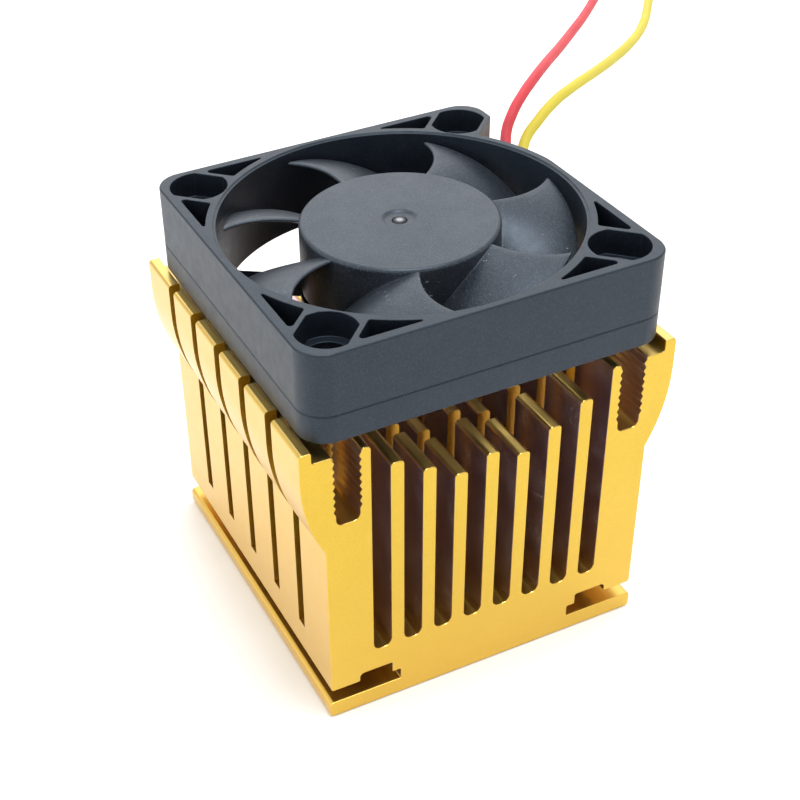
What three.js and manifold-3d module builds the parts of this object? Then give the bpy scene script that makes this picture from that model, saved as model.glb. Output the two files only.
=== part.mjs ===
// Fan-cooled heatsink: a 40 mm axial fan standing on a cross-cut, gold-anodised fin block.
// Millimetres, +Z up. The origin is the centre of the fin block's underside.
// X runs across the fins, Y along the extrusion, and the fan blows down onto the fins.

import * as THREE from 'three';
import { mergeVertices } from 'three/addons/utils/BufferGeometryUtils.js';
import Module from 'manifold-3d';

const wasm = await Module();
wasm.setup();

// ---------------------------------------------------------------- driving dimensions

const GAP = 0.3; // between pieces that rest on or are pressed into each other

// fin block (the profile is symmetric, so its widths are half widths)
const BLOCK_LENGTH = 40.8;
const BASE_HALF_WIDTH = 19.0;
const BASE_THICKNESS = 2.0;
const BODY_HALF_WIDTH = 18.75;
const FLARE_HALF_WIDTH = 21.15;
const FLARE_TOP = 32.8;
const FLARE_RADIUS = 20;
const LEDGE_HEIGHT = 35.0;
const LIP_HEIGHT = 36.3;
const LIP_INNER = 19.85;
const FIN_PITCH = 3.6;
const FIN_THICKNESS = 1.5;
const FIN_TOPS = [29.2, 27.9, 29.9, 32.0]; // from the middle fin outwards
const FIN_FLOOR = 7.65;
const GROOVE_CENTRE = 16.2;
const GROOVE_HALF_WIDTH = 1.3;
const GROOVE_FLOOR = 26.4;
const GROOVE_TOOTH_DEPTH = 0.25;
const GROOVE_TOOTH_PITCH = 0.92;
const GROOVE_TEETH = 7;
const GROOVE_TEETH_FROM = 28.2;
const CLIP_MOUTH_TOP = 3.8;
const CLIP_POCKET_TOP = 4.85;
const CLIP_POCKET_OUTER = 15.35;
const CLIP_POCKET_INNER = 11.5;
const CLIP_NOTCH_INNER = 10.5;
const CLIP_NOTCH_TOP = 3.45;
const CROSS_CUTS = 5;
const CROSS_CUT_PITCH = 6.6;
const CROSS_CUT_WIDTH = 1.5;

// fan, measured up from its own underside, which stands on the block's lips
const FAN_BOTTOM = LIP_HEIGHT + GAP;
const FAN_CENTRE_Y = -0.4;
const FAN_WIDTH = 40;
const FAN_HEIGHT = 10;
const FAN_CORNER_RADIUS = 3;
const HOLE_PITCH = 32;
const HOLE_RADIUS = 2.15;
const RECESS_RADIUS = 3.12;
const RECESS_HALF_WIDTH = 2.64; // each recess is flattened along its corner's diagonal
const RECESS_FLOOR = 7.2;
const RECESS_WALL = 0.55;
const BORE_RADIUS = 19;
const RING_RADIUS = 20.1;
const POCKET_WALL = 1.1;
const POCKET_FLOOR = 2.0;
const POCKET_END = 6.6; // from the fan's axis, where the long side of a pocket begins
const POCKET_DEPTH = 7.3;
const NOTCH_END = 3;
const MOTOR_PLATE_RADIUS = 10.6;
const MOTOR_PLATE_FROM = 0.45;
const MOTOR_PLATE_TO = 1.45;
const STRUT_THICKNESS = 1.6;
const STRUT_WIDTH = 2.2;
const STRUT_ANGLES = [146, 266]; // degrees; the third strut carries the leads
const BEARING_TUBE_RADIUS = 3.1;
const BEARING_TUBE_BORE = 2.5;
const BEARING_TUBE_TOP = 7.2;

// impeller
const HUB_RADIUS = 10.5;
const HUB_TOP = 9.5;
const HUB_BOTTOM = 2.0;
const HUB_WALL = 0.9;
const SHAFT_BORE = 0.8;
const SHAFT_RADIUS = 0.75;
const BLADE_COUNT = 7;
const BLADE_TIP_RADIUS = 18.25;
const BLADE_TOP = 9.05;
const BLADE_BOTTOM = 2.5;
const BLADE_CHORD_ANGLE = 47;
const BLADE_THICKNESS = 0.9;
const BLADE_FIRST_ANGLE = 46.4; // degrees, where the first blade's leading edge has its waist
const BLADE_WAIST_RADIUS = 12.6;
const BLADE_SWEEP = 0.23; // degrees of forward sweep per square millimetre from the waist

// leads
const LEAD_RADIUS = 0.65;
const LEAD_ANGLE = 26; // degrees, the direction of the lead channel from the fan's axis
const LEAD_OFFSET = 0.95;
const LEAD_CHANNEL_WIDTH = 4.2;
const LEAD_CHANNEL_FLOOR = 0.25;
const LEAD_CHANNEL_TOP = 2.1;
const LEAD_CHANNEL_WALL = 0.6;
const LEAD_STEPS = 66;
const CONNECTOR = { x: 72.5, y: -21.5, angle: 240, width: 6.2, height: 4, length: 9, pitch: 2.5 };
const CAVITY_HALF = 0.95;
const CONTACT_HALF = 0.6;
const LEAD_END = -2.5; // along the connector, where the leads' insulation stops behind the contacts

const MATERIALS = {
  gold_anodised: { color: 0xf0c24a, roughness: 0.38, metalness: 0.9 },
  black_plastic: { color: 0x23262b, roughness: 0.6, metalness: 0 },
  hub_plastic: { color: 0x2a2d31, roughness: 0.55, metalness: 0 },
  yoke_steel: { color: 0x9aa0a6, roughness: 0.35, metalness: 1 },
  ferrite: { color: 0x2c2a2a, roughness: 0.8, metalness: 0.1 },
  shaft_steel: { color: 0xd8dadd, roughness: 0.2, metalness: 1 },
  bronze: { color: 0xa9733f, roughness: 0.5, metalness: 0.9 },
  nylon: { color: 0xe9e6dc, roughness: 0.5, metalness: 0 },
  silicon_steel: { color: 0x70757b, roughness: 0.5, metalness: 0.9 },
  copper_enamel: { color: 0xb4582a, roughness: 0.35, metalness: 0.8 },
  circuit_board: { color: 0x1f5a37, roughness: 0.5, metalness: 0 },
  chip_epoxy: { color: 0x17181a, roughness: 0.6, metalness: 0 },
  label_film: { color: 0xc9cbce, roughness: 0.4, metalness: 0.3 },
  red_pvc: { color: 0xe8404c, roughness: 0.4, metalness: 0 },
  yellow_pvc: { color: 0xf0e03c, roughness: 0.4, metalness: 0 },
  white_nylon: { color: 0xf1efe6, roughness: 0.5, metalness: 0 },
  tinned_brass: { color: 0xcfc9b4, roughness: 0.3, metalness: 1 },
};

// ---------------------------------------------------------------- solid helpers

function toSolid(geometry) {
  const positions = geometry.clone();
  positions.deleteAttribute('normal');
  positions.deleteAttribute('uv');
  const merged = mergeVertices(positions, 1e-4);
  const mesh = new wasm.Mesh({
    numProp: 3,
    vertProperties: new Float32Array(merged.attributes.position.array),
    triVerts: new Uint32Array(merged.index.array),
  });
  return new wasm.Manifold(mesh);
}

function toGeometry(solid) {
  const mesh = solid.getMesh();
  const geometry = new THREE.BufferGeometry();
  geometry.setAttribute('position', new THREE.BufferAttribute(mesh.vertProperties, 3));
  geometry.setIndex(new THREE.BufferAttribute(mesh.triVerts, 1));
  geometry.computeVertexNormals();
  return geometry;
}

function join(...solids) {
  return solids.reduce((whole, piece) => whole.add(piece));
}

function cut(solid, ...tools) {
  return tools.reduce((rest, tool) => rest.subtract(tool), solid);
}

function radians(degrees) {
  return THREE.MathUtils.degToRad(degrees);
}

function polar(radius, degrees) {
  return [radius * Math.cos(radians(degrees)), radius * Math.sin(radians(degrees))];
}

function box(x0, x1, y0, y1, z0, z1) {
  const geometry = new THREE.BoxGeometry(x1 - x0, y1 - y0, z1 - z0);
  return geometry.translate((x0 + x1) / 2, (y0 + y1) / 2, (z0 + z1) / 2);
}

function cylinder(radius, z0, z1, segments = 32) {
  const geometry = new THREE.CylinderGeometry(radius, radius, z1 - z0, segments);
  return geometry.rotateX(Math.PI / 2).translate(0, 0, (z0 + z1) / 2);
}

// a closed profile of [radius, height] points, turned about Z
function turned(profile, segments = 48) {
  const points = profile.map(([radius, height]) => new THREE.Vector2(radius, height));
  if (THREE.ShapeUtils.area(points) < 0) points.reverse();
  points.push(points[0].clone());
  return new THREE.LatheGeometry(points.reverse(), segments).rotateX(Math.PI / 2).scale(1, -1, 1);
}

function tube(inner, outer, z0, z1, segments = 48) {
  return turned([[inner, z0], [outer, z0], [outer, z1], [inner, z1]], segments);
}

function extruded(shape, z0, z1, curveSegments = 6) {
  const options = { depth: z1 - z0, bevelEnabled: false, curveSegments };
  return new THREE.ExtrudeGeometry(shape, options).translate(0, 0, z0);
}

function roundedSquare(halfWidth, radius) {
  const shape = new THREE.Shape();
  const straight = halfWidth - radius;
  const corners = [[1, -1, -90], [1, 1, 0], [-1, 1, 90], [-1, -1, 180]];
  for (const [sideX, sideY, start] of corners) {
    const from = radians(start);
    shape.absarc(sideX * straight, sideY * straight, radius, from, from + Math.PI / 2, false);
  }
  return shape;
}

// a bar that lies along a direction in the XY plane, from one distance of the axis to another
function radialBar(from, to, width, z0, z1, degrees) {
  return box(from, to, -width / 2, width / 2, z0, z1).rotateZ(radians(degrees));
}

// ---------------------------------------------------------------- fin block

// the outline of one screw groove, from its outer mouth down and up to its inner mouth
function groovePoints() {
  const points = [];
  const outer = GROOVE_CENTRE + GROOVE_HALF_WIDTH;
  const inner = GROOVE_CENTRE - GROOVE_HALF_WIDTH;
  const teethTop = GROOVE_TEETH_FROM + GROOVE_TEETH * GROOVE_TOOTH_PITCH;
  points.push([outer + GROOVE_TOOTH_DEPTH, teethTop]);
  for (let tooth = GROOVE_TEETH - 1; tooth >= 0; tooth -= 1) {
    const root = GROOVE_TEETH_FROM + tooth * GROOVE_TOOTH_PITCH;
    points.push([outer, root + GROOVE_TOOTH_PITCH / 2]);
    points.push([outer + GROOVE_TOOTH_DEPTH, root]);
  }
  points.push([outer, GROOVE_TEETH_FROM - GROOVE_TOOTH_PITCH / 2]);
  for (let step = 0; step <= 8; step += 1) {
    const angle = (Math.PI * step) / 8;
    const x = GROOVE_CENTRE + GROOVE_HALF_WIDTH * Math.cos(angle);
    const y = GROOVE_FLOOR + GROOVE_HALF_WIDTH * 0.8 * (1 - Math.sin(angle));
    points.push([x, y]);
  }
  points.push([inner, GROOVE_TEETH_FROM - GROOVE_TOOTH_PITCH / 2]);
  for (let tooth = 0; tooth < GROOVE_TEETH; tooth += 1) {
    const root = GROOVE_TEETH_FROM + tooth * GROOVE_TOOTH_PITCH;
    points.push([inner - GROOVE_TOOTH_DEPTH, root]);
    points.push([inner, root + GROOVE_TOOTH_PITCH / 2]);
  }
  points.push([inner - GROOVE_TOOTH_DEPTH, teethTop]);
  return points;
}

// the top of a wall or fin between two x values, its corners rounded over
function roundedTopPoints(xFrom, xTo, top, radius) {
  const side = Math.sign(xTo - xFrom);
  const corner = radius * (1 - Math.SQRT1_2);
  return [
    [xFrom, top - radius],
    [xFrom + side * corner, top - corner],
    [xFrom + side * radius, top],
    [xTo - side * radius, top],
    [xTo - side * corner, top - corner],
    [xTo, top - radius],
  ];
}

// the floor of a slot between two fins, from its right side to its left
function slotFloorPoints(xRight, xLeft) {
  const radius = 0.5;
  return [
    [xRight, FIN_FLOOR + radius],
    [xRight - radius, FIN_FLOOR],
    [xLeft + radius, FIN_FLOOR],
    [xLeft, FIN_FLOOR + radius],
  ];
}

// the flared side, an arc that ends upright under the lip
function flarePoints() {
  const centreX = FLARE_HALF_WIDTH - FLARE_RADIUS;
  const startAngle = Math.acos((BODY_HALF_WIDTH - centreX) / FLARE_RADIUS);
  const points = [];
  const steps = 8;
  for (let step = 0; step <= steps; step += 1) {
    const angle = -startAngle * (1 - step / steps);
    const x = centreX + FLARE_RADIUS * Math.cos(angle);
    points.push([x, FLARE_TOP + FLARE_RADIUS * Math.sin(angle)]);
  }
  return points;
}

// the right half of the profile, from the middle of the underside to the middle fin's top
function halfProfile() {
  const wallTop = LEDGE_HEIGHT + 0.05;
  const lastFin = FIN_TOPS.length - 1;
  const wallInner = (lastFin + 1) * FIN_PITCH - FIN_THICKNESS / 2;
  const edge = 0.5;
  const points = [
    [BASE_HALF_WIDTH - edge, 0],
    [BASE_HALF_WIDTH, edge],
    [BASE_HALF_WIDTH, BASE_THICKNESS - edge],
    [BASE_HALF_WIDTH - edge, BASE_THICKNESS],
    [CLIP_NOTCH_INNER, BASE_THICKNESS],
    [CLIP_NOTCH_INNER, CLIP_NOTCH_TOP],
    [CLIP_POCKET_INNER, CLIP_NOTCH_TOP],
    [CLIP_POCKET_INNER, CLIP_POCKET_TOP],
    [CLIP_POCKET_OUTER, CLIP_POCKET_TOP],
    [CLIP_POCKET_OUTER, CLIP_MOUTH_TOP],
    [BODY_HALF_WIDTH, CLIP_MOUTH_TOP],
    ...flarePoints(),
    [FLARE_HALF_WIDTH, LIP_HEIGHT - 0.4],
    [FLARE_HALF_WIDTH - 0.4, LIP_HEIGHT],
    [LIP_INNER + 0.1, LIP_HEIGHT],
    [LIP_INNER, LIP_HEIGHT - 0.1],
    [LIP_INNER, LEDGE_HEIGHT + 0.15],
    [LIP_INNER - 0.15, LEDGE_HEIGHT],
    [GROOVE_CENTRE + GROOVE_HALF_WIDTH + 0.6, LEDGE_HEIGHT],
    ...groovePoints(),
    ...roundedTopPoints(GROOVE_CENTRE - GROOVE_HALF_WIDTH - 0.1, wallInner, wallTop, 0.4),
  ];
  for (let fin = lastFin; fin >= 0; fin -= 1) {
    const right = fin * FIN_PITCH + FIN_THICKNESS / 2;
    points.push(...slotFloorPoints((fin + 1) * FIN_PITCH - FIN_THICKNESS / 2, right));
    const left = fin === 0 ? -right : right - FIN_THICKNESS;
    const top = roundedTopPoints(right, left, FIN_TOPS[fin], 0.4);
    points.push(...(fin === 0 ? top.slice(0, 3) : top));
  }
  return points;
}

function finBlock() {
  const right = halfProfile();
  const left = right.map(([x, z]) => [-x, z]).reverse();
  const outline = [...right, ...left].map(([x, z]) => new THREE.Vector2(x, z));
  const half = BLOCK_LENGTH / 2;
  const bar = extruded(new THREE.Shape(outline), -half, half).rotateX(Math.PI / 2);
  const cuts = [];
  for (let index = 0; index < CROSS_CUTS; index += 1) {
    const y = (index - (CROSS_CUTS - 1) / 2) * CROSS_CUT_PITCH;
    const near = y - CROSS_CUT_WIDTH / 2;
    const far = y + CROSS_CUT_WIDTH / 2;
    cuts.push(toSolid(box(-25, 25, near, far, FIN_FLOOR, LIP_HEIGHT + 1)));
  }
  return toGeometry(cut(toSolid(bar), ...cuts));
}

// ---------------------------------------------------------------- fan frame

const ABOVE_FAN = FAN_HEIGHT + 1;

// what the pockets of the corner at +X +Y leave standing: the ring, and the walls of the recess
function cornerKeep() {
  const ring = cylinder(RING_RADIUS, 0, ABOVE_FAN, 96);
  const wallsWidth = 2 * (RECESS_HALF_WIDTH + RECESS_WALL);
  return [toSolid(ring), toSolid(radialBar(0, FAN_WIDTH, wallsWidth, 0, ABOVE_FAN, 45))];
}

function largestPiece(solid) {
  const pieces = solid.decompose();
  return pieces.reduce((best, piece) => (piece.volume() > best.volume() ? piece : best));
}

// the two pockets beside the corner at +X +Y, one along each side of the frame
function cornerPockets() {
  const outer = FAN_WIDTH / 2 - POCKET_WALL;
  const inner = outer - POCKET_DEPTH;
  const alongX = box(POCKET_END, outer, inner, outer, POCKET_FLOOR, ABOVE_FAN);
  const alongY = box(inner, outer, POCKET_END, outer, POCKET_FLOOR, ABOVE_FAN);
  return [alongX, alongY].map((block) => largestPiece(cut(toSolid(block), ...cornerKeep())));
}

// beside the back right corner the frame's side is open, so that the leads can leave
function leadNotch() {
  const outer = FAN_WIDTH / 2;
  const block = box(outer - POCKET_DEPTH, outer + 1, NOTCH_END, HOLE_PITCH / 2, POCKET_FLOOR, ABOVE_FAN);
  return largestPiece(cut(toSolid(block), ...cornerKeep()));
}

// the recess of the corner at +X +Y: round, with two flats along the diagonal
function cornerRecess() {
  const round = cylinder(RECESS_RADIUS, RECESS_FLOOR, ABOVE_FAN, 32);
  const reach = RECESS_RADIUS + 1;
  const flats = radialBar(-reach, reach, 2 * RECESS_HALF_WIDTH, RECESS_FLOOR, ABOVE_FAN, 45);
  return toSolid(round).intersect(toSolid(flats));
}

function strut(angle, width) {
  const from = MOTOR_PLATE_RADIUS - 0.4;
  const to = BORE_RADIUS + 0.4;
  return toSolid(radialBar(from, to, width, 0, STRUT_THICKNESS, angle));
}

function fanFrame() {
  const outer = toSolid(extruded(roundedSquare(FAN_WIDTH / 2, FAN_CORNER_RADIUS), 0, FAN_HEIGHT));
  let frame = cut(outer, toSolid(cylinder(BORE_RADIUS, -1, ABOVE_FAN, 96)));
  const hole = HOLE_PITCH / 2;
  const screwHole = join(toSolid(cylinder(HOLE_RADIUS, -1, ABOVE_FAN, 24)), cornerRecess());
  for (const sideX of [-1, 1]) {
    for (const sideY of [-1, 1]) {
      const [alongX, alongY] = cornerPockets();
      const beside = sideX > 0 && sideY > 0 ? leadNotch() : alongY;
      const tools = [screwHole.translate([hole, hole, 0]), alongX, beside];
      frame = cut(frame, ...tools.map((tool) => tool.scale([sideX, sideY, 1])));
    }
  }
  const motorPlate = tube(BEARING_TUBE_BORE, MOTOR_PLATE_RADIUS, MOTOR_PLATE_FROM, MOTOR_PLATE_TO, 64);
  const bearingTube = tube(BEARING_TUBE_BORE, BEARING_TUBE_RADIUS, MOTOR_PLATE_FROM, BEARING_TUBE_TOP);
  const struts = STRUT_ANGLES.map((angle) => strut(angle, STRUT_WIDTH));
  const channelStrut = strut(LEAD_ANGLE, LEAD_CHANNEL_WIDTH + 2 * LEAD_CHANNEL_WALL);
  frame = join(frame, toSolid(motorPlate), toSolid(bearingTube), ...struts, channelStrut);
  const channel = radialBar(
    9,
    FAN_WIDTH / 2 + 6,
    LEAD_CHANNEL_WIDTH,
    LEAD_CHANNEL_FLOOR,
    LEAD_CHANNEL_TOP,
    LEAD_ANGLE,
  );
  return toGeometry(cut(frame, toSolid(channel)));
}

// ---------------------------------------------------------------- impeller and rotor

// one point of a blade's middle surface: 0 to 1 along the chord, and its radius
function bladePoint(chord, radius) {
  const fromWaist = radius - BLADE_WAIST_RADIUS;
  const lead = BLADE_FIRST_ANGLE + BLADE_SWEEP * fromWaist * fromWaist;
  const [x, y] = polar(radius, lead - BLADE_CHORD_ANGLE * chord);
  const height = BLADE_TOP - (BLADE_TOP - BLADE_BOTTOM) * (0.45 * chord + 0.55 * chord * chord);
  return new THREE.Vector3(x, y, height);
}

// a thin closed shell either side of the middle surface, narrowing to both edges
function bladeGeometry(radiusFrom, radiusTo) {
  const chordSteps = 8;
  const spanSteps = 6;
  const columns = chordSteps + 1;
  const rows = spanSteps + 1;
  const positions = [];
  for (const side of [1, -1]) {
    for (let row = 0; row < rows; row += 1) {
      const radius = radiusFrom + ((radiusTo - radiusFrom) * row) / spanSteps;
      for (let column = 0; column < columns; column += 1) {
        const chord = column / chordSteps;
        const here = bladePoint(chord, radius);
        const along = bladePoint(chord + 0.01, radius).sub(bladePoint(chord - 0.01, radius));
        const across = bladePoint(chord, radius + 0.1).sub(bladePoint(chord, radius - 0.1));
        const normal = across.cross(along).normalize();
        if (normal.z < 0) normal.negate();
        const thickness = BLADE_THICKNESS * (0.45 + 0.55 * Math.sin(Math.PI * chord));
        here.addScaledVector(normal, (side * thickness) / 2);
        positions.push(here.x, here.y, here.z);
      }
    }
  }
  const sheet = rows * columns;
  const indices = [];
  const quad = (a, b, c, d) => indices.push(a, b, c, a, c, d);
  for (let row = 0; row < spanSteps; row += 1) {
    for (let column = 0; column < chordSteps; column += 1) {
      const a = row * columns + column;
      const b = a + columns;
      quad(a + 1, b + 1, b, a);
      quad(sheet + a, sheet + b, sheet + b + 1, sheet + a + 1);
    }
  }
  for (let column = 0; column < chordSteps; column += 1) {
    const low = column;
    const high = spanSteps * columns + column;
    quad(low, sheet + low, sheet + low + 1, low + 1);
    quad(high + 1, sheet + high + 1, sheet + high, high);
  }
  for (let row = 0; row < spanSteps; row += 1) {
    const lead = row * columns;
    const trail = lead + chordSteps;
    quad(lead + columns, sheet + lead + columns, sheet + lead, lead);
    quad(trail, sheet + trail, sheet + trail + columns, trail + columns);
  }
  const geometry = new THREE.BufferGeometry();
  geometry.setAttribute('position', new THREE.Float32BufferAttribute(positions, 3));
  geometry.setIndex(indices);
  return geometry;
}

function impeller() {
  const skirtInner = HUB_RADIUS - HUB_WALL;
  const ceiling = HUB_TOP - HUB_WALL;
  const hub = turned([
    [SHAFT_BORE, 7.4],
    [1.6, 7.4],
    [1.6, ceiling],
    [skirtInner, ceiling],
    [skirtInner, HUB_BOTTOM],
    [HUB_RADIUS, HUB_BOTTOM],
    [HUB_RADIUS, HUB_TOP - 0.3],
    [HUB_RADIUS - 0.3, HUB_TOP],
    [1.8, HUB_TOP],
    [1.3, HUB_TOP - 0.25],
    [SHAFT_BORE, HUB_TOP - 0.25],
  ], 56);
  let solid = toSolid(hub);
  for (let index = 0; index < BLADE_COUNT; index += 1) {
    const blade = bladeGeometry(HUB_RADIUS - 0.5, BLADE_TIP_RADIUS);
    blade.rotateZ((2 * Math.PI * index) / BLADE_COUNT);
    solid = solid.add(toSolid(blade));
  }
  return toGeometry(solid);
}

function rotorYoke() {
  return turned([
    [2.2, 8.05],
    [8.9, 8.05],
    [8.9, 2.3],
    [9.4, 2.3],
    [9.4, 8.35],
    [2.2, 8.35],
  ]);
}

function rotorShaft() {
  return turned([
    [0, 1.75],
    [SHAFT_RADIUS - 0.15, 1.75],
    [SHAFT_RADIUS, 1.9],
    [SHAFT_RADIUS, 1.98],
    [0.5, 1.98],
    [0.5, 2.27],
    [SHAFT_RADIUS, 2.27],
    [SHAFT_RADIUS, 9.2],
    [SHAFT_RADIUS - 0.12, 9.32],
    [0, 9.32],
  ], 32);
}

// a C-shaped clip in the shaft's groove, open on one side
function shaftClip() {
  const ring = toSolid(tube(0.56, 1.35, 2.0, 2.22, 32));
  return toGeometry(cut(ring, toSolid(box(0, 2, -0.4, 0.4, 1.9, 2.4))));
}

// ---------------------------------------------------------------- stator

const STATOR_LOW = 3.75;
const STATOR_HIGH = 5.45;
const POLE_TIP_RADIUS = 7.2;
const POLE_ARM_HALF_WIDTH = 1.1;
const POLE_SHOE_INNER = 6.5;
const POLE_ROOT_RADIUS = 4.1;
const POLE_SHOE_HALF_ANGLE = 34;
const INSULATOR_UPPER = [STATOR_HIGH + 0.2, STATOR_HIGH + 0.45];
const INSULATOR_LOWER = [STATOR_LOW - 0.45, STATOR_LOW - 0.2];
const COIL_OUTER_RADIUS = 5.75;
const COIL_THICKNESS = 0.5; // above and below the insulators
const COIL_SIDE_THICKNESS = 0.9;
const BOARD_RADIUS = 9;
const BOARD_BOTTOM = 1.75;
const BOARD_TOP = 2.2;
const CHIP_BOTTOM = 2.45;

function poleShoe(z0, z1, angle) {
  const shape = new THREE.Shape();
  const half = radians(POLE_SHOE_HALF_ANGLE);
  shape.absarc(0, 0, POLE_TIP_RADIUS, -half, half, false);
  shape.absarc(0, 0, POLE_SHOE_INNER, half, -half, true);
  return toSolid(extruded(shape, z0, z1, 4).rotateZ(radians(angle)));
}

function fourPoles(z0, z1) {
  const bore = BEARING_TUBE_RADIUS + 0.25;
  let solid = toSolid(tube(bore, POLE_ROOT_RADIUS, z0, z1, 32));
  for (let pole = 0; pole < 4; pole += 1) {
    const angle = 90 * pole;
    const armTo = POLE_SHOE_INNER + 0.3;
    const arm = radialBar(POLE_ROOT_RADIUS - 0.3, armTo, 2 * POLE_ARM_HALF_WIDTH, z0, z1, angle);
    solid = join(solid, toSolid(arm), poleShoe(z0, z1, angle));
  }
  return toGeometry(solid);
}

// a rounded rectangular ring of winding around one pole's arm
function coil(angle) {
  const from = POLE_ROOT_RADIUS + 0.25;
  const innerHalf = POLE_ARM_HALF_WIDTH + GAP;
  const outerHalf = innerHalf + COIL_SIDE_THICKNESS;
  const low = INSULATOR_LOWER[0] - GAP;
  const high = INSULATOR_UPPER[1] + GAP;
  const lowest = low - COIL_THICKNESS;
  const highest = high + COIL_THICKNESS;
  const outer = toSolid(box(from, COIL_OUTER_RADIUS, -outerHalf, outerHalf, lowest, highest));
  const inner = toSolid(box(from - 1, COIL_OUTER_RADIUS + 1, -innerHalf, innerHalf, low, high));
  return toGeometry(cut(outer, inner).rotate([0, 0, angle]));
}

// a ring with a flat notch for the wires, a quarter turn on from the lead channel
function circuitBoard() {
  const board = tube(BEARING_TUBE_RADIUS + 0.25, BOARD_RADIUS, BOARD_BOTTOM, BOARD_TOP, 40);
  const notch = radialBar(BOARD_RADIUS - 0.7, BOARD_RADIUS + 1, 3, 1, 3, LEAD_ANGLE + 90);
  return toGeometry(cut(toSolid(board), toSolid(notch)));
}

function chip(radius, degrees, length, width, height) {
  const [x, y] = polar(radius, degrees);
  const top = CHIP_BOTTOM + height;
  const body = box(-length / 2, length / 2, -width / 2, width / 2, CHIP_BOTTOM, top);
  return body.rotateZ(radians(degrees)).translate(x, y, 0);
}

// ---------------------------------------------------------------- leads and connector

// the stretch in the lead channel, from beside the circuit board to past the frame
function channelPoints(side) {
  const [directionX, directionY] = polar(1, LEAD_ANGLE);
  const offset = side * LEAD_OFFSET;
  return [9.5, 12.5, 15.5, 18.5, 21.5].map((distance) => [
    distance * directionX - offset * directionY,
    distance * directionY + offset * directionX + FAN_CENTRE_Y,
    FAN_BOTTOM + 1.15,
  ]);
}

// the last stretch, square into the back of the connector
function connectorPoints(side) {
  const [directionX, directionY] = polar(1, CONNECTOR.angle);
  const offset = (side * CONNECTOR.pitch) / 2;
  return [LEAD_END - 7.5, LEAD_END - 5, LEAD_END - 2.5, LEAD_END].map((distance) => [
    CONNECTOR.x + distance * directionX - offset * directionY,
    CONNECTOR.y + distance * directionY + offset * directionX,
    CONNECTOR.height / 2 - (distance < -6 ? 0.4 : 0),
  ]);
}

const RED_ROUTE = [
  ...channelPoints(1),
  [20.7, 11.3, 38.0],
  [21.9, 13.2, 38.6],
  [22.9, 15.6, 39.9],
  [24.1, 18.1, 42.0],
  [25.7, 19.4, 43.8],
  [27.8, 20.8, 45.0],
  [31.0, 23.4, 45.4],
  [35.7, 28.0, 44.7],
  [41.6, 34.0, 43.3],
  [48.2, 41.0, 41.6],
  [55.4, 48.7, 39.8],
  [62.9, 57.0, 38.1],
  [70.1, 64.8, 37.0],
  [79.0, 72.8, 36.4],
  [89.2, 76.6, 36.2],
  [96.9, 73.0, 36.0],
  [101.5, 64.5, 35.5],
  [102.9, 53.0, 34.2],
  [102.8, 43.4, 31.6],
  [103.2, 32.2, 25.2],
  [101.8, 23.0, 18.4],
  [98.6, 14.8, 11.0],
  [94.4, 8.4, 4.8],
  [90.2, 3.6, 1.5],
  [86.4, -1.0, 0.8],
  [82.4, -7.0, 0.85],
  ...connectorPoints(1),
];

const YELLOW_ROUTE = [
  ...channelPoints(-1),
  [21.6, 9.7, 37.9],
  [23.2, 11.7, 38.4],
  [24.4, 14.7, 39.5],
  [26.2, 17.1, 41.1],
  [28.8, 18.4, 42.6],
  [32.0, 20.1, 43.5],
  [36.1, 22.3, 43.7],
  [41.3, 25.6, 43.1],
  [47.4, 30.1, 42.0],
  [54.6, 36.2, 40.5],
  [62.8, 44.5, 38.7],
  [71.3, 54.8, 37.3],
  [76.7, 61.2, 36.7],
  [83.4, 66.6, 36.3],
  [89.9, 67.0, 36.1],
  [95.5, 62.7, 35.7],
  [98.3, 55.1, 34.9],
  [99.7, 46.3, 32.6],
  [100.4, 33.8, 26.6],
  [99.2, 24.6, 20.0],
  [96.2, 16.6, 12.4],
  [92.2, 10.4, 5.8],
  [88.2, 6.0, 2.0],
  [84.6, 1.4, 0.85],
  [80.4, -5.0, 0.85],
  ...connectorPoints(-1),
];

function lead(route) {
  const path = new THREE.CatmullRomCurve3(route.map(([x, y, z]) => new THREE.Vector3(x, y, z)));
  const section = new THREE.Shape();
  for (let corner = 0; corner < 8; corner += 1) {
    const [x, y] = polar(LEAD_RADIUS, 45 * corner);
    if (corner === 0) section.moveTo(x, y);
    else section.lineTo(x, y);
  }
  section.closePath();
  return new THREE.ExtrudeGeometry(section, { steps: LEAD_STEPS, extrudePath: path, curveSegments: 1 });
}

function placeAtConnector(geometry) {
  return geometry.rotateZ(radians(CONNECTOR.angle)).translate(CONNECTOR.x, CONNECTOR.y, 0);
}

// the housing: a cavity for each contact, a latch window over it and a key rib along the top
function connectorHousing() {
  const { length, width, height, pitch } = CONNECTOR;
  const end = length / 2;
  const middle = height / 2;
  const body = box(-end, end, -width / 2, width / 2, 0, height);
  const keyRib = box(1 - end, end - 1.5, -0.6, 0.6, height - 1, height + 0.6);
  let solid = join(toSolid(body), toSolid(keyRib));
  for (const side of [-1, 1]) {
    const y = (side * pitch) / 2;
    const low = middle - CAVITY_HALF;
    const cavity = box(-length, length, y - CAVITY_HALF, y + CAVITY_HALF, low, low + 2 * CAVITY_HALF);
    const window = box(-1.2, 1.6, y - 0.6, y + 0.6, middle, height + 1);
    solid = cut(solid, toSolid(cavity), toSolid(window));
  }
  return placeAtConnector(toGeometry(solid));
}

// a square bar inside the connector, as far each way from the middle of one side's cavity
function cavityBar(side, from, to, half) {
  const y = (side * CONNECTOR.pitch) / 2;
  const middle = CONNECTOR.height / 2;
  return toSolid(box(from, to, y - half, y + half, middle - half, middle + half));
}

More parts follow.
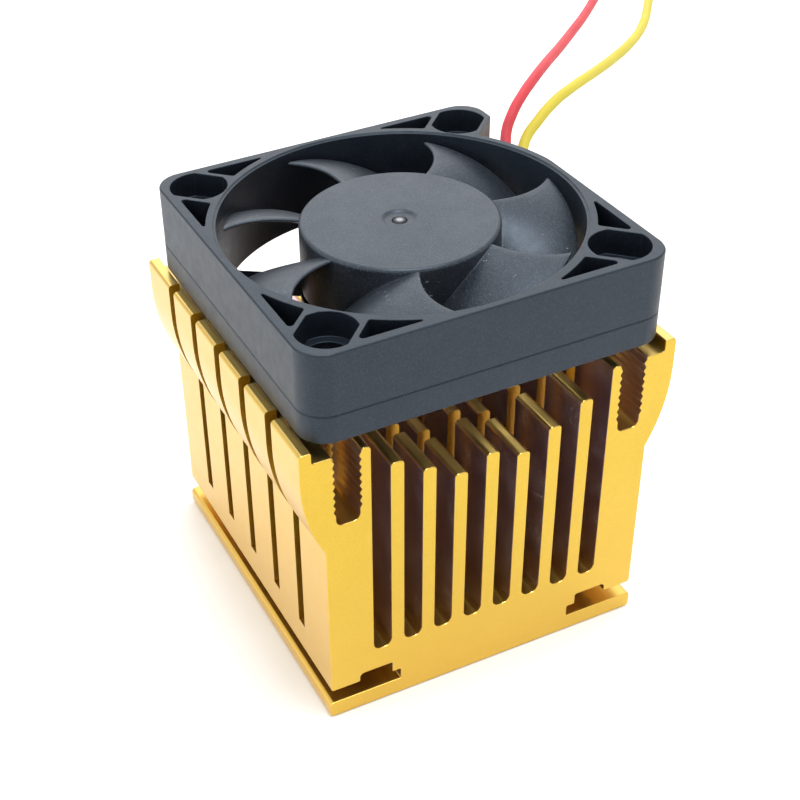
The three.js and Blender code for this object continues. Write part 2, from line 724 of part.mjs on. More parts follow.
// a folded crimp contact: a square sleeve, solid where it grips the lead
function contact(side) {
  const sleeve = cavityBar(side, LEAD_END + 0.4, 4.2, CONTACT_HALF);
  const bore = cavityBar(side, 0.4, 5, CONTACT_HALF - 0.25);
  return placeAtConnector(toGeometry(cut(sleeve, bore)));
}

// ---------------------------------------------------------------- assembly

const cooler = new THREE.Group();
const fan = new THREE.Group();
fan.position.set(0, FAN_CENTRE_Y, FAN_BOTTOM);
cooler.add(fan);

function addPiece(parent, name, geometry, material) {
  const mesh = new THREE.Mesh(geometry, new THREE.MeshStandardMaterial(MATERIALS[material]));
  mesh.name = name;
  parent.add(mesh);
}

addPiece(cooler, 'heatsink', finBlock(), 'gold_anodised');

addPiece(fan, 'fan_frame', fanFrame(), 'black_plastic');
addPiece(fan, 'impeller', impeller(), 'hub_plastic');
addPiece(fan, 'rotor_yoke', rotorYoke(), 'yoke_steel');
addPiece(fan, 'rotor_magnet', tube(7.7, 8.7, 2.6, 7.6), 'ferrite');
addPiece(fan, 'rotor_shaft', rotorShaft(), 'shaft_steel');
addPiece(fan, 'shaft_clip', shaftClip(), 'shaft_steel');
addPiece(fan, 'oil_slinger', tube(0.85, 1.7, 6.8, 7.05, 32), 'nylon');
addPiece(fan, 'sleeve_bearing', tube(0.79, 2.3, 2.65, 6.6, 32), 'bronze');
addPiece(fan, 'thrust_washer', tube(0.9, 2.25, 2.36, 2.55, 32), 'nylon');
addPiece(fan, 'stator_core', fourPoles(STATOR_LOW, STATOR_HIGH), 'silicon_steel');
addPiece(fan, 'insulator_upper', fourPoles(...INSULATOR_UPPER), 'nylon');
addPiece(fan, 'insulator_lower', fourPoles(...INSULATOR_LOWER), 'nylon');
for (let pole = 0; pole < 4; pole += 1) {
  addPiece(fan, `stator_coil_${pole + 1}`, coil(90 * pole), 'copper_enamel');
}
addPiece(fan, 'circuit_board', circuitBoard(), 'circuit_board');
addPiece(fan, 'hall_driver_chip', chip(6, 45, 2.2, 1.8, 0.9), 'chip_epoxy');
addPiece(fan, 'smoothing_capacitor', chip(6, 225, 1.6, 2, 1), 'chip_epoxy');
addPiece(fan, 'rating_label', cylinder(9.8, 0.05, 0.2, 48), 'label_film');

addPiece(cooler, 'red_lead', lead(RED_ROUTE), 'red_pvc');
addPiece(cooler, 'yellow_lead', lead(YELLOW_ROUTE), 'yellow_pvc');
addPiece(cooler, 'connector_housing', connectorHousing(), 'white_nylon');
addPiece(cooler, 'red_contact', contact(1), 'tinned_brass');
addPiece(cooler, 'yellow_contact', contact(-1), 'tinned_brass');

export default cooler;
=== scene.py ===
"""A 40 mm axial fan standing on a cross-cut, gold-anodised fin block, with its two leads.

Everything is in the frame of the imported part: +Z up, the origin under the middle of the block,
X across the fins and Y along the extrusion. Dimensions are named in millimetres and turned into
metres where a mesh is made.
"""

from math import acos, atan2, cos, degrees, pi, radians, sin, sqrt, tan, tau

import bmesh
import bpy
from mathutils import Matrix, Vector


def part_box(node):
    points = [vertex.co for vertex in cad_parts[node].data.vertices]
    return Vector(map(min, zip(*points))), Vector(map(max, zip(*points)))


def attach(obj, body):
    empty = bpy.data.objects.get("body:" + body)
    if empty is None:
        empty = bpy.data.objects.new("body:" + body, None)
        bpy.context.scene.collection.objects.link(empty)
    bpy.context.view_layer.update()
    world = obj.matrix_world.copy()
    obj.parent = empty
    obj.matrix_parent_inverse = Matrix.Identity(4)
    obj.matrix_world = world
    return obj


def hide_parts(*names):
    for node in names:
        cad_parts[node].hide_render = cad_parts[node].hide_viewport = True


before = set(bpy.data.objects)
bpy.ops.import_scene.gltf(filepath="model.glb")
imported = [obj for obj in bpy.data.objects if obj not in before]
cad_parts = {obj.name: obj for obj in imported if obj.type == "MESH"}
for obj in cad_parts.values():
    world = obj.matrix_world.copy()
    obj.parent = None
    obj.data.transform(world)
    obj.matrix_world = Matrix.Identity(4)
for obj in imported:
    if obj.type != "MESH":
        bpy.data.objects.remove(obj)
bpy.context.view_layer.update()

MM = 0.001


def in_mm(box):
    """A box's low and high corners, in millimetres."""
    return [Vector(corner) / MM for corner in box]


block_low, block_high = in_mm(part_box("heatsink"))
fan_low, fan_high = in_mm(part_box("fan_frame"))
FAN_AXIS = Vector(((fan_low.x + fan_high.x) / 2, (fan_low.y + fan_high.y) / 2, fan_low.z))
FAN_HALF = (fan_high.x - fan_low.x) / 2
FAN_HEIGHT = fan_high.z - fan_low.z

# ---------------------------------------------------------------- camera

CAMERA_LENS = 66.17
CAMERA_SENSOR = 36.0
CAMERA_AZIMUTH = -22.33
CAMERA_ELEVATION = 35.83
CAMERA_ROLL = -3.33
CAMERA_DISTANCE = 158.3
CAMERA_TARGET = Vector((-13.76, -0.38, 27.95))
CAMERA_SHIFT = (0.1419, -0.0040)
CAMERA_NEAREST = 10


def direction(azimuth, elevation):
    """The way out from the object: azimuth 0 is the front, 90 the right side."""
    azimuth = radians(azimuth)
    elevation = radians(elevation)
    return Vector((
        sin(azimuth) * cos(elevation),
        -cos(azimuth) * cos(elevation),
        sin(elevation),
    ))


def make_camera():
    azimuth = radians(CAMERA_AZIMUTH)
    back = direction(CAMERA_AZIMUTH, CAMERA_ELEVATION)
    level = Vector((cos(azimuth), sin(azimuth), 0))
    right = Matrix.Rotation(radians(CAMERA_ROLL), 3, back) @ level
    up = back.cross(right)
    turn = Matrix((right, up, back)).transposed()
    camera = bpy.data.objects.new("camera", bpy.data.cameras.new("camera"))
    camera.data.sensor_width = CAMERA_SENSOR
    camera.data.lens = CAMERA_LENS
    camera.data.shift_x, camera.data.shift_y = CAMERA_SHIFT
    camera.data.clip_start = CAMERA_NEAREST * MM
    place = (CAMERA_TARGET + back * CAMERA_DISTANCE) * MM
    camera.matrix_world = Matrix.Translation(place) @ turn.to_4x4()
    bpy.context.scene.collection.objects.link(camera)
    bpy.context.scene.camera = camera


make_camera()

# ---------------------------------------------------------------- shader helpers

# A Mix node has one set of sockets for each data type: these are the ones for colours.
MIX_COLOURS = (6, 7)
MIX_RESULT = 2


class Shader:
    """A material being put together: its nodes, its links and its principled shader."""

    def __init__(self, name, colour, roughness, metallic=0.0):
        self.material = bpy.data.materials.new(name)
        self.material.use_nodes = True
        self.nodes = self.material.node_tree.nodes
        self.links = self.material.node_tree.links
        self.surface = self.nodes["Principled BSDF"]
        self.set("Base Color", (*colour, 1))
        self.set("Roughness", roughness)
        self.set("Metallic", metallic)
        self.place = self.nodes.new("ShaderNodeTexCoord").outputs["Object"]
        self.normal = None

    def set(self, socket, value):
        self.surface.inputs[socket].default_value = value

    def stretched(self, scale):
        """The object's own coordinates, scaled by axis, so that a pattern runs along one."""
        mapping = self.nodes.new("ShaderNodeMapping")
        mapping.inputs["Scale"].default_value = scale
        self.links.new(self.place, mapping.inputs["Vector"])
        return mapping.outputs["Vector"]

    def noise(self, size, detail=2.0, roughness=0.5, place=None):
        """Fractal noise whose largest features are about size millimetres."""
        node = self.nodes.new("ShaderNodeTexNoise")
        node.inputs["Scale"].default_value = 1 / (size * MM)
        node.inputs["Detail"].default_value = detail
        node.inputs["Roughness"].default_value = roughness
        self.links.new(place or self.place, node.inputs["Vector"])
        return node.outputs["Fac"]

    def cells(self, size):
        """Distance from scattered points about size millimetres apart."""
        node = self.nodes.new("ShaderNodeTexVoronoi")
        node.inputs["Scale"].default_value = 1 / (size * MM)
        self.links.new(self.place, node.inputs["Vector"])
        return node.outputs["Distance"]

    def between(self, factor, low, high, to_low=0.0, to_high=1.0):
        """factor spread from low..high to to_low..to_high, and held there outside."""
        node = self.nodes.new("ShaderNodeMapRange")
        node.inputs["From Min"].default_value = low
        node.inputs["From Max"].default_value = high
        node.inputs["To Min"].default_value = to_low
        node.inputs["To Max"].default_value = to_high
        self.links.new(factor, node.inputs["Value"])
        return node.outputs["Result"]

    def maths(self, operation, first, second=None):
        node = self.nodes.new("ShaderNodeMath")
        node.operation = operation
        self.links.new(first, node.inputs[0])
        if second:
            self.links.new(second, node.inputs[1])
        return node.outputs[0]

    def patches(self, speck, threshold, patch_size):
        """Specks where a pattern tops a threshold, kept to patches of the surface."""
        specks = self.between(speck, threshold, threshold + 0.05)
        patch = self.between(self.noise(patch_size, 2), 0.48, 0.62)
        return self.maths("MULTIPLY", specks, patch)

    def position(self, axis):
        """The place along one axis, in metres."""
        node = self.nodes.new("ShaderNodeSeparateXYZ")
        self.links.new(self.place, node.inputs["Vector"])
        return node.outputs[axis]

    def from_middle(self, axis):
        """The distance either way from the middle plane, in metres."""
        return self.maths("ABSOLUTE", self.position(axis))

    def near(self, point, start, end):
        """1 within start millimetres of a point, fading to 0 at end millimetres."""
        node = self.nodes.new("ShaderNodeVectorMath")
        node.operation = "DISTANCE"
        node.inputs[1].default_value = point * MM
        self.links.new(self.place, node.inputs[0])
        return self.between(node.outputs["Value"], end * MM, start * MM)

    def facing(self, axis):
        """How squarely the surface faces along an axis, either way, from 0 to 1."""
        node = self.nodes.new("ShaderNodeSeparateXYZ")
        geometry = self.nodes.new("ShaderNodeNewGeometry")
        self.links.new(geometry.outputs["Normal"], node.inputs["Vector"])
        return self.maths("ABSOLUTE", node.outputs[axis])

    def mix(self, factor, first, second):
        """Two colours, or a linked colour and a colour, mixed by a linked factor."""
        node = self.nodes.new("ShaderNodeMix")
        node.data_type = "RGBA"
        self.links.new(factor, node.inputs["Factor"])
        for socket, value in zip(MIX_COLOURS, (first, second)):
            if isinstance(value, tuple):
                node.inputs[socket].default_value = (*value, 1)
            else:
                self.links.new(value, node.inputs[socket])
        return node.outputs[MIX_RESULT]

    def ridges(self, pitch, bands="Z", distortion=0.0):
        """Parallel ridges, pitch millimetres apart along one axis."""
        node = self.nodes.new("ShaderNodeTexWave")
        node.bands_direction = bands
        # At scale 1 the bands of this node are tau / 20 apart.
        node.inputs["Scale"].default_value = tau / (20 * pitch * MM)
        node.inputs["Distortion"].default_value = distortion
        self.links.new(self.place, node.inputs["Vector"])
        return node.outputs["Fac"]

    def bump(self, height, depth):
        """A height pattern, depth millimetres deep, on top of the bumps so far."""
        node = self.nodes.new("ShaderNodeBump")
        node.inputs["Strength"].default_value = 1.0
        node.inputs["Distance"].default_value = depth * MM
        self.links.new(height, node.inputs["Height"])
        if self.normal:
            self.links.new(self.normal, node.inputs["Normal"])
        self.normal = node.outputs["Normal"]
        self.links.new(self.normal, self.surface.inputs["Normal"])

    def colour(self, output):
        self.links.new(output, self.surface.inputs["Base Color"])

    def roughness(self, output):
        self.links.new(output, self.surface.inputs["Roughness"])

    def metallic(self, output):
        self.links.new(output, self.surface.inputs["Metallic"])

    def translucent(self, weight, radius, depth):
        """Light that scatters inside the surface, depth millimetres deep."""
        self.set("Subsurface Weight", weight)
        self.set("Subsurface Radius", radius)
        self.set("Subsurface Scale", depth * MM)


# ---------------------------------------------------------------- lead insulation


def lead_material(name, colour, faded):
    """Soft PVC insulation: slightly cloudy, faintly rippled by the strands inside it."""
    shader = Shader(name, colour, 0.55)
    shader.set("Specular IOR Level", 0.3)
    cloud = shader.between(shader.noise(6.0, 3), 0.35, 0.65)
    shader.colour(shader.mix(cloud, colour, faded))
    shader.roughness(shader.between(shader.noise(1.5, 2), 0.3, 0.7, 0.5, 0.62))
    shader.bump(shader.noise(0.9, 2), 0.012)
    shader.bump(shader.noise(0.12, 2), 0.002)
    shader.translucent(0.08, (0.6, 0.3, 0.2), 0.8)
    return shader.material


RED = lead_material("red_pvc", (0.55, 0.045, 0.06), (0.60, 0.06, 0.075))
YELLOW = lead_material("yellow_pvc", (0.56, 0.47, 0.045), (0.61, 0.52, 0.065))

# ---------------------------------------------------------------- leads

LEAD_RADIUS = 0.65
LEAD_OFFSET = 0.95
LEAD_ANGLE = 26
LEAD_HEIGHT = 1.15
CHANNEL_DISTANCES = (9.5, 12.5, 15.5, 18.5, 21.5)
CONNECTOR = Vector((72.5, -21.5, 0))
CONNECTOR_ANGLE = 240
CONNECTOR_PITCH = 2.5
CONNECTOR_HEIGHT = 4

# The last points of each route: distance along the connector, and drop below its middle.
CONNECTOR_POINTS = ((-10, 0.4), (-7.5, 0.4), (-5, 0), (-2.5, 0))

# The open stretches, from the frame's side over to the connector on the floor.
RED_ROUTE = [
    (20.7, 11.3, 38.0),
    (21.9, 13.2, 38.6),
    (22.9, 15.6, 39.9),
    (24.1, 18.1, 42.0),
    (25.7, 19.4, 43.8),
    (27.8, 20.8, 45.0),
    (31.0, 23.4, 45.4),
    (35.7, 28.0, 44.7),
    (41.6, 34.0, 43.3),
    (48.2, 41.0, 41.6),
    (55.4, 48.7, 39.8),
    (62.9, 57.0, 38.1),
    (70.1, 64.8, 37.0),
    (79.0, 72.8, 36.4),
    (89.2, 76.6, 36.2),
    (96.9, 73.0, 36.0),
    (101.5, 64.5, 35.5),
    (102.9, 53.0, 34.2),
    (102.8, 43.4, 31.6),
    (103.2, 32.2, 25.2),
    (101.8, 23.0, 18.4),
    (98.6, 14.8, 11.0),
    (94.4, 8.4, 4.8),
    (90.2, 3.6, 1.5),
    (86.4, -1.0, 0.8),
    (82.4, -7.0, 0.85),
]

YELLOW_ROUTE = [
    (21.6, 9.7, 37.9),
    (23.2, 11.7, 38.4),
    (24.4, 14.7, 39.5),
    (26.2, 17.1, 41.1),
    (28.8, 18.4, 42.6),
    (32.0, 20.1, 43.5),
    (36.1, 22.3, 43.7),
    (41.3, 25.6, 43.1),
    (47.4, 30.1, 42.0),
    (54.6, 36.2, 40.5),
    (62.8, 44.5, 38.7),
    (71.3, 54.8, 37.3),
    (76.7, 61.2, 36.7),
    (83.4, 66.6, 36.3),
    (89.9, 67.0, 36.1),
    (95.5, 62.7, 35.7),
    (98.3, 55.1, 34.9),
    (99.7, 46.3, 32.6),
    (100.4, 33.8, 26.6),
    (99.2, 24.6, 20.0),
    (96.2, 16.6, 12.4),
    (92.2, 10.4, 5.8),
    (88.2, 6.0, 2.0),
    (84.6, 1.4, 0.85),
    (80.4, -5.0, 0.85),
]


def beside(origin, angle, distance, offset):
    """A point at a distance along a direction in the XY plane, and offset to its left."""
    along = Vector((cos(radians(angle)), sin(radians(angle)), 0))
    left = Vector((-along.y, along.x, 0))
    return origin + along * distance + left * offset


def lead_route(side, open_route):
    """The whole route of a lead: its channel, its open stretch, and straight into the connector."""
    channel = [
        beside(FAN_AXIS, LEAD_ANGLE, distance, side * LEAD_OFFSET) + Vector((0, 0, LEAD_HEIGHT))
        for distance in CHANNEL_DISTANCES
    ]
    connector = []
    for distance, drop in CONNECTOR_POINTS:
        point = beside(CONNECTOR, CONNECTOR_ANGLE, distance, side * CONNECTOR_PITCH / 2)
        connector.append(point + Vector((0, 0, CONNECTOR_HEIGHT / 2 - drop)))
    return [*channel, *(Vector(point) for point in open_route), *connector]


def make_lead(name, node, side, open_route, material):
    route = lead_route(side, open_route)
    curve = bpy.data.curves.new(name, "CURVE")
    curve.dimensions = "3D"
    curve.bevel_depth = LEAD_RADIUS * MM
    curve.bevel_resolution = 5
    curve.resolution_u = 10
    curve.use_fill_caps = True
    spline = curve.splines.new("BEZIER")
    spline.bezier_points.add(len(route) - 1)
    for bezier_point, point in zip(spline.bezier_points, route):
        bezier_point.co = point * MM
        bezier_point.handle_left_type = "AUTO"
        bezier_point.handle_right_type = "AUTO"
    curve.materials.append(material)
    lead = bpy.data.objects.new(name, curve)
    bpy.context.scene.collection.objects.link(lead)
    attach(lead, "cooler_body")
    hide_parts(node)
    return lead, route


red_lead, red_route = make_lead("red_insulation", "red_lead", 1, RED_ROUTE, RED)
yellow_lead, yellow_route = make_lead("yellow_insulation", "yellow_lead", -1, YELLOW_ROUTE, YELLOW)

# ---------------------------------------------------------------- mesh helpers

# How far a cutting tool runs past what it cuts.
PAST = 1.0
WELD_DISTANCE = 0.002
FLAT_ANGLE = 0.5


def polar(radius, angle):
    return (radius * cos(radians(angle)), radius * sin(radians(angle)))


def link(name, mesh):
    piece = bpy.data.objects.new(name, mesh)
    bpy.context.scene.collection.objects.link(piece)
    return piece


def from_faces(name, points, faces):
    """An object from points in millimetres and faces of any size, its normals facing out."""
    shape = bmesh.new()
    vertices = [shape.verts.new(Vector(point) * MM) for point in points]
    for face in faces:
        shape.faces.new([vertices[index] for index in face])
    bmesh.ops.recalc_face_normals(shape, faces=shape.faces)
    mesh = bpy.data.meshes.new(name)
    shape.to_mesh(mesh)
    shape.free()
    return link(name, mesh)


def loft(name, rings, closed=False):
    """A body through rings of as many points each, capped at both ends unless it is closed."""
    count = len(rings[0])
    points = [point for ring in rings for point in ring]
    faces = []
    last = len(rings) if closed else len(rings) - 1
    for ring in range(last):
        low = ring * count
        high = (ring + 1) % len(rings) * count
        for index in range(count):
            after = (index + 1) % count
            faces.append((low + index, low + after, high + after, high + index))
    if not closed:
        faces.append(tuple(range(count)))
        faces.append(tuple(range((len(rings) - 1) * count, len(rings) * count)))
    return from_faces(name, points, faces)


def prism(name, outline, low, high, origin=FAN_AXIS):
    """An outline in the XY plane round an origin, raised from one height to another."""
    rings = [[origin + Vector((x, y, z)) for x, y in outline] for z in (low, high)]
    return loft(name, rings)


def lathe(name, profile, segments):
    """A closed profile of (radius, height) points, turned about the fan's axis."""
    rings = []
    for step in range(segments):
        turned = [Vector((*polar(radius, 360 * step / segments), z)) for radius, z in profile]
        rings.append([FAN_AXIS + point for point in turned])
    return loft(name, rings, closed=True)


def circle(radius, segments=48, centre=(0, 0)):
    points = [polar(radius, 360 * step / segments) for step in range(segments)]
    return [(centre[0] + x, centre[1] + y) for x, y in points]


def bar(start, end, width, angle, offset=0.0):
    """A rectangle lying along a direction, from one distance of the origin to another."""
    along = Vector(polar(1, angle))
    left = Vector((-along.y, along.x))
    right_side = left * (offset - width / 2)
    left_side = left * (offset + width / 2)
    return [
        along * start + right_side,
        along * end + right_side,
        along * end + left_side,
        along * start + left_side,
    ]


def rounded(corners, steps=5):
    """A closed outline of (x, y, radius) corners, each rounded by its radius."""
    outline = []
    for index, (x, y, radius) in enumerate(corners):
        here = Vector((x, y))
        if not radius:
            outline.append(here)
            continue
        before = (Vector(corners[index - 1][:2]) - here).normalized()
        after = (Vector(corners[(index + 1) % len(corners)][:2]) - here).normalized()
        half = before.angle(after) / 2
        centre = here + (before + after).normalized() * radius / sin(half)
        start = here + before * radius / tan(half) - centre
        turn = pi - 2 * half
        if before.x * after.y - before.y * after.x > 0:
            turn = -turn
        for step in range(steps + 1):
            outline.append(centre + Matrix.Rotation(turn * step / steps, 2) @ start)
    return outline


def combined(piece, operation, *tools):
    """Unite each tool with the piece or cut it from the piece. The tools are used up."""
    for tool in tools:
        modifier = piece.modifiers.new(operation, "BOOLEAN")
        modifier.operation = operation
        modifier.solver = "EXACT"
        modifier.object = tool
        apply_modifiers(piece)
        bpy.data.objects.remove(tool)


def apply_modifiers(piece):
    seen = bpy.context.evaluated_depsgraph_get()
    result = bpy.data.meshes.new_from_object(piece.evaluated_get(seen))
    piece.modifiers.clear()
    piece.data = result


def soften_edges(piece, width, segments=2, sharper_than=32):
    """Round every edge sharper than an angle, then shade the whole piece smooth."""
    shape = bmesh.new()
    shape.from_mesh(piece.data)
    bmesh.ops.remove_doubles(shape, verts=shape.verts, dist=WELD_DISTANCE * MM)
    bmesh.ops.dissolve_limit(
        shape,
        angle_limit=radians(FLAT_ANGLE),
        verts=shape.verts,
        edges=shape.edges,
    )
    shape.to_mesh(piece.data)
    shape.free()
    modifier = piece.modifiers.new("edges", "BEVEL")
    modifier.width = width * MM
    modifier.segments = segments
    modifier.limit_method = "ANGLE"
    modifier.angle_limit = radians(sharper_than)
    modifier.use_clamp_overlap = False
    modifier.miter_outer = "MITER_ARC"
    apply_modifiers(piece)
    for face in piece.data.polygons:
        face.use_smooth = True
    modifier = piece.modifiers.new("normals", "WEIGHTED_NORMAL")
    modifier.keep_sharp = True
    modifier.weight = 100
    apply_modifiers(piece)


def dress(piece, material, slot, body, *nodes):
    """Give a finished piece its material and its body, and hide the CAD nodes that it stands for.
    """
    piece.data.materials.clear()
    piece.data.materials.append(material)
    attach(piece, body)
    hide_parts(*nodes)


# ---------------------------------------------------------------- fin block

BASE_HALF_WIDTH = 19.0
BASE_THICKNESS = 2.0
BASE_EDGE = 0.45
BODY_HALF_WIDTH = 18.75
FLARE_TOP = 32.8
FLARE_RADIUS = 20.0
LEDGE_HEIGHT = 35.0
LIP_INNER = 19.85
LIP_EDGE = 0.4
FIN_PITCH = 3.6
FIN_THICKNESS = 1.5
FIN_TOPS = (29.2, 27.9, 29.9, 32.0)
FIN_EDGE = 0.45
FIN_FLOOR = 7.65
SLOT_CORNER = 0.85
GROOVE_CENTRE = 16.2
GROOVE_HALF_WIDTH = 1.3
GROOVE_FLOOR = 26.4
GROOVE_ROUNDING = 0.7
TOOTH_DEPTH = 0.25
TOOTH_PITCH = 0.92
TEETH = 7
TEETH_FROM = 28.2
CLIP_MOUTH_TOP = 3.8
CLIP_POCKET_TOP = 4.85
CLIP_POCKET_OUTER = 15.35
CLIP_POCKET_INNER = 11.5
CLIP_NOTCH_INNER = 10.5
CLIP_NOTCH_TOP = 3.45
CLIP_CEILING_ROUNDING = 0.5
SLIGHT_ROUNDING = 0.15
TOOTH_ROUNDING = 0.12
LEDGE_ROUNDING = 0.2
OUTER_ROUNDING = 0.3
WALL_ROUNDING = 0.45
CUT_END_EDGE = 0.08
CROSS_CUTS = 5
CROSS_CUT_PITCH = 6.6
CROSS_CUT_WIDTH = 1.5


def flare_corners():
    """The flared side of the right half, an arc that ends upright."""
    width = block_high.x
    centre = width - FLARE_RADIUS
    spread = acos((BODY_HALF_WIDTH - centre) / FLARE_RADIUS)
    steps = 20
    corners = []
    for step in range(steps + 1):
        angle = -spread * (1 - step / steps)
        x = centre + FLARE_RADIUS * cos(angle)
        corners.append((x, FLARE_TOP + FLARE_RADIUS * sin(angle), 0))
    return corners


def groove_corners():
    """The screw groove of the right half, from its outer mouth round to its inner mouth."""
    outer = GROOVE_CENTRE + GROOVE_HALF_WIDTH
    corners = [(outer + TOOTH_DEPTH, TEETH_FROM + TEETH * TOOTH_PITCH, TOOTH_ROUNDING)]
    for tooth in reversed(range(TEETH)):
        root = TEETH_FROM + tooth * TOOTH_PITCH
        corners.append((outer, root + TOOTH_PITCH / 2, TOOTH_ROUNDING))
        corners.append((outer + TOOTH_DEPTH, root, TOOTH_ROUNDING))
    corners.append((outer, TEETH_FROM - TOOTH_PITCH / 2, TOOTH_ROUNDING))
    corners.append((outer, GROOVE_FLOOR, GROOVE_ROUNDING))
    mirrored = [(2 * GROOVE_CENTRE - x, z, radius) for x, z, radius in corners]
    return corners + mirrored[::-1]


def fin_corners():
    """The fins and slots of the right half, from the inner face of the wall to the middle fin."""
    corners = []
    last = len(FIN_TOPS) - 1
    # A hair below the saw cuts' floor, so that the two never lie in one plane.
    floor = FIN_FLOOR - 0.001
    for fin in range(last, -1, -1):
        right = fin * FIN_PITCH + FIN_THICKNESS / 2
        slot_right = (fin + 1) * FIN_PITCH - FIN_THICKNESS / 2
        corners.append((slot_right, floor, SLOT_CORNER))
        corners.append((right, floor, SLOT_CORNER))
        corners.append((right, FIN_TOPS[fin], FIN_EDGE))
        if fin:
            corners.append((right - FIN_THICKNESS, FIN_TOPS[fin], FIN_EDGE))
    return corners


def block_outline():
    """The whole profile of the extrusion, (x, z) points in order round it."""
    wall_inner = len(FIN_TOPS) * FIN_PITCH - FIN_THICKNESS / 2
    wall_outer = GROOVE_CENTRE - GROOVE_HALF_WIDTH - TOOTH_DEPTH
    top = block_high.z
    right = [
        (BASE_HALF_WIDTH, 0, BASE_EDGE),
        (BASE_HALF_WIDTH, BASE_THICKNESS, BASE_EDGE),
        (CLIP_NOTCH_INNER, BASE_THICKNESS, SLIGHT_ROUNDING),
        (CLIP_NOTCH_INNER, CLIP_NOTCH_TOP, SLIGHT_ROUNDING),
        (CLIP_POCKET_INNER, CLIP_NOTCH_TOP, TOOTH_ROUNDING),
        (CLIP_POCKET_INNER, CLIP_POCKET_TOP, LEDGE_ROUNDING),
        (CLIP_POCKET_OUTER, CLIP_POCKET_TOP, CLIP_CEILING_ROUNDING),
        (CLIP_POCKET_OUTER, CLIP_MOUTH_TOP, SLIGHT_ROUNDING),
        (BODY_HALF_WIDTH, CLIP_MOUTH_TOP, OUTER_ROUNDING),
        *flare_corners(),
        (block_high.x, top, LIP_EDGE),
        (LIP_INNER, top, SLIGHT_ROUNDING),
        (LIP_INNER, LEDGE_HEIGHT, LEDGE_ROUNDING),
        (GROOVE_CENTRE + GROOVE_HALF_WIDTH + TOOTH_DEPTH, LEDGE_HEIGHT, TOOTH_ROUNDING),
        *groove_corners(),
        (wall_outer, LEDGE_HEIGHT, OUTER_ROUNDING),
        (wall_inner, LEDGE_HEIGHT, WALL_ROUNDING),
        *fin_corners(),
    ]
    left = [(-x, z, radius) for x, z, radius in reversed(right)]
    return rounded([*right, *left], steps=4)


def block_ring(outline, y, inset):
    """The outline at one place along the extrusion, drawn in by an inset on every side."""
    ring = []
    for index, point in enumerate(outline):
        before = (point - outline[index - 1]).normalized()
        after = (outline[(index + 1) % len(outline)] - point).normalized()
        outward = Vector((before.y + after.y, -before.x - after.x))
        # A corner sharper than 60 degrees moves less than a full mitre would take it.
        spread = max(0.5, 1 + before.dot(after))
        move = outward / spread * inset
        ring.append(Vector((point.x - move.x, y, point.y - move.y)))
    return ring


def make_saw(y):
    """What one cross-cut takes away: the full width of the block, from the fin floor up."""
    half = CROSS_CUT_WIDTH / 2
    reach = block_high.x + 2 * PAST
    top = block_high.z + 2 * PAST
    section = [(y - half, FIN_FLOOR), (y + half, FIN_FLOOR), (y + half, top), (y - half, top)]
    rings = [[Vector((side, *corner)) for corner in section] for side in (-reach, reach)]
    return loft("saw", rings)


def make_block():
    outline = block_outline()
    near, far = block_low.y, block_high.y
    edge = CUT_END_EDGE
    rings = [
        block_ring(outline, near, edge),
        block_ring(outline, near + 0.3 * edge, 0.3 * edge),
        block_ring(outline, near + edge, 0),
        block_ring(outline, far - edge, 0),
        block_ring(outline, far - 0.3 * edge, 0.3 * edge),
        block_ring(outline, far, edge),
    ]
    block = loft("fin_block", rings)
    for index in range(CROSS_CUTS):
        y = (index - (CROSS_CUTS - 1) / 2) * CROSS_CUT_PITCH
        combined(block, "DIFFERENCE", make_saw(y))
    return block


block = make_block()

# ---------------------------------------------------------------- fan frame

CORNER_RADIUS = 3.0
BOTTOM_EDGE = 0.14
TOP_EDGE = 0.2
SEAM_HEIGHT = 3.1
SEAM_DEPTH = 0.08
SEAM_MOUTH = 0.09
SEAM_FLOOR = 0.03
HOLE_CENTRE = 16.0
HOLE_RADIUS = 2.15
RECESS_RADIUS = 3.12
RECESS_HALF_WIDTH = 2.64
RECESS_FLOOR = 7.2
RECESS_WALL = 0.55
BORE_RADIUS = 19.0
RIM_RADIUS = 19.3
RIM_DEPTH = 0.16
RING_RADIUS = 20.1
POCKET_WALL = 1.1
POCKET_FLOOR = 2.0
POCKET_CORNER = 0.35
POCKET_TIP = 0.15
MOTOR_PLATE_RADIUS = 10.6
MOTOR_PLATE = (0.45, 1.45)
STRUT_THICKNESS = 1.6
STRUT_WIDTH = 2.2
STRUT_ANGLES = (146, 266)
STRUT_OVERLAP = 0.4
BEARING_TUBE_RADIUS = 3.1
BEARING_TUBE_BORE = 2.5
BEARING_TUBE = (0.65, 7.2)
CHANNEL_WIDTH = 4.2
CHANNEL_WALL = 0.6
CHANNEL = (0.25, 2.1)
CHANNEL_START = 9
CHANNEL_END = FAN_HALF + 6
FRAME_EDGE = 0.08
ABOVE_FAN = FAN_HEIGHT + PAST


def frame_body():
    """The frame's outside: a rounded square with a parting seam and softened edges."""
    levels = [
        (0, BOTTOM_EDGE),
        (0.04, 0.04),
        (BOTTOM_EDGE, 0),
        (SEAM_HEIGHT - SEAM_MOUTH, 0),
        (SEAM_HEIGHT - SEAM_FLOOR, SEAM_DEPTH),
        (SEAM_HEIGHT + SEAM_FLOOR, SEAM_DEPTH),
        (SEAM_HEIGHT + SEAM_MOUTH, 0),
        (FAN_HEIGHT - TOP_EDGE, 0),
        (FAN_HEIGHT - 0.06, 0.06),
        (FAN_HEIGHT, TOP_EDGE),
    ]
    rings = []
    for height, inset in levels:
        half = FAN_HALF - inset
        radius = CORNER_RADIUS - inset
        corners = [
            (side_x * half, side_y * half, radius)
            for side_x, side_y in ((1, -1), (1, 1), (-1, 1), (-1, -1))
        ]
        outline = rounded(corners, steps=12)
        rings.append([FAN_AXIS + Vector((point.x, point.y, height)) for point in outline])
    return loft("fan_shell", rings)


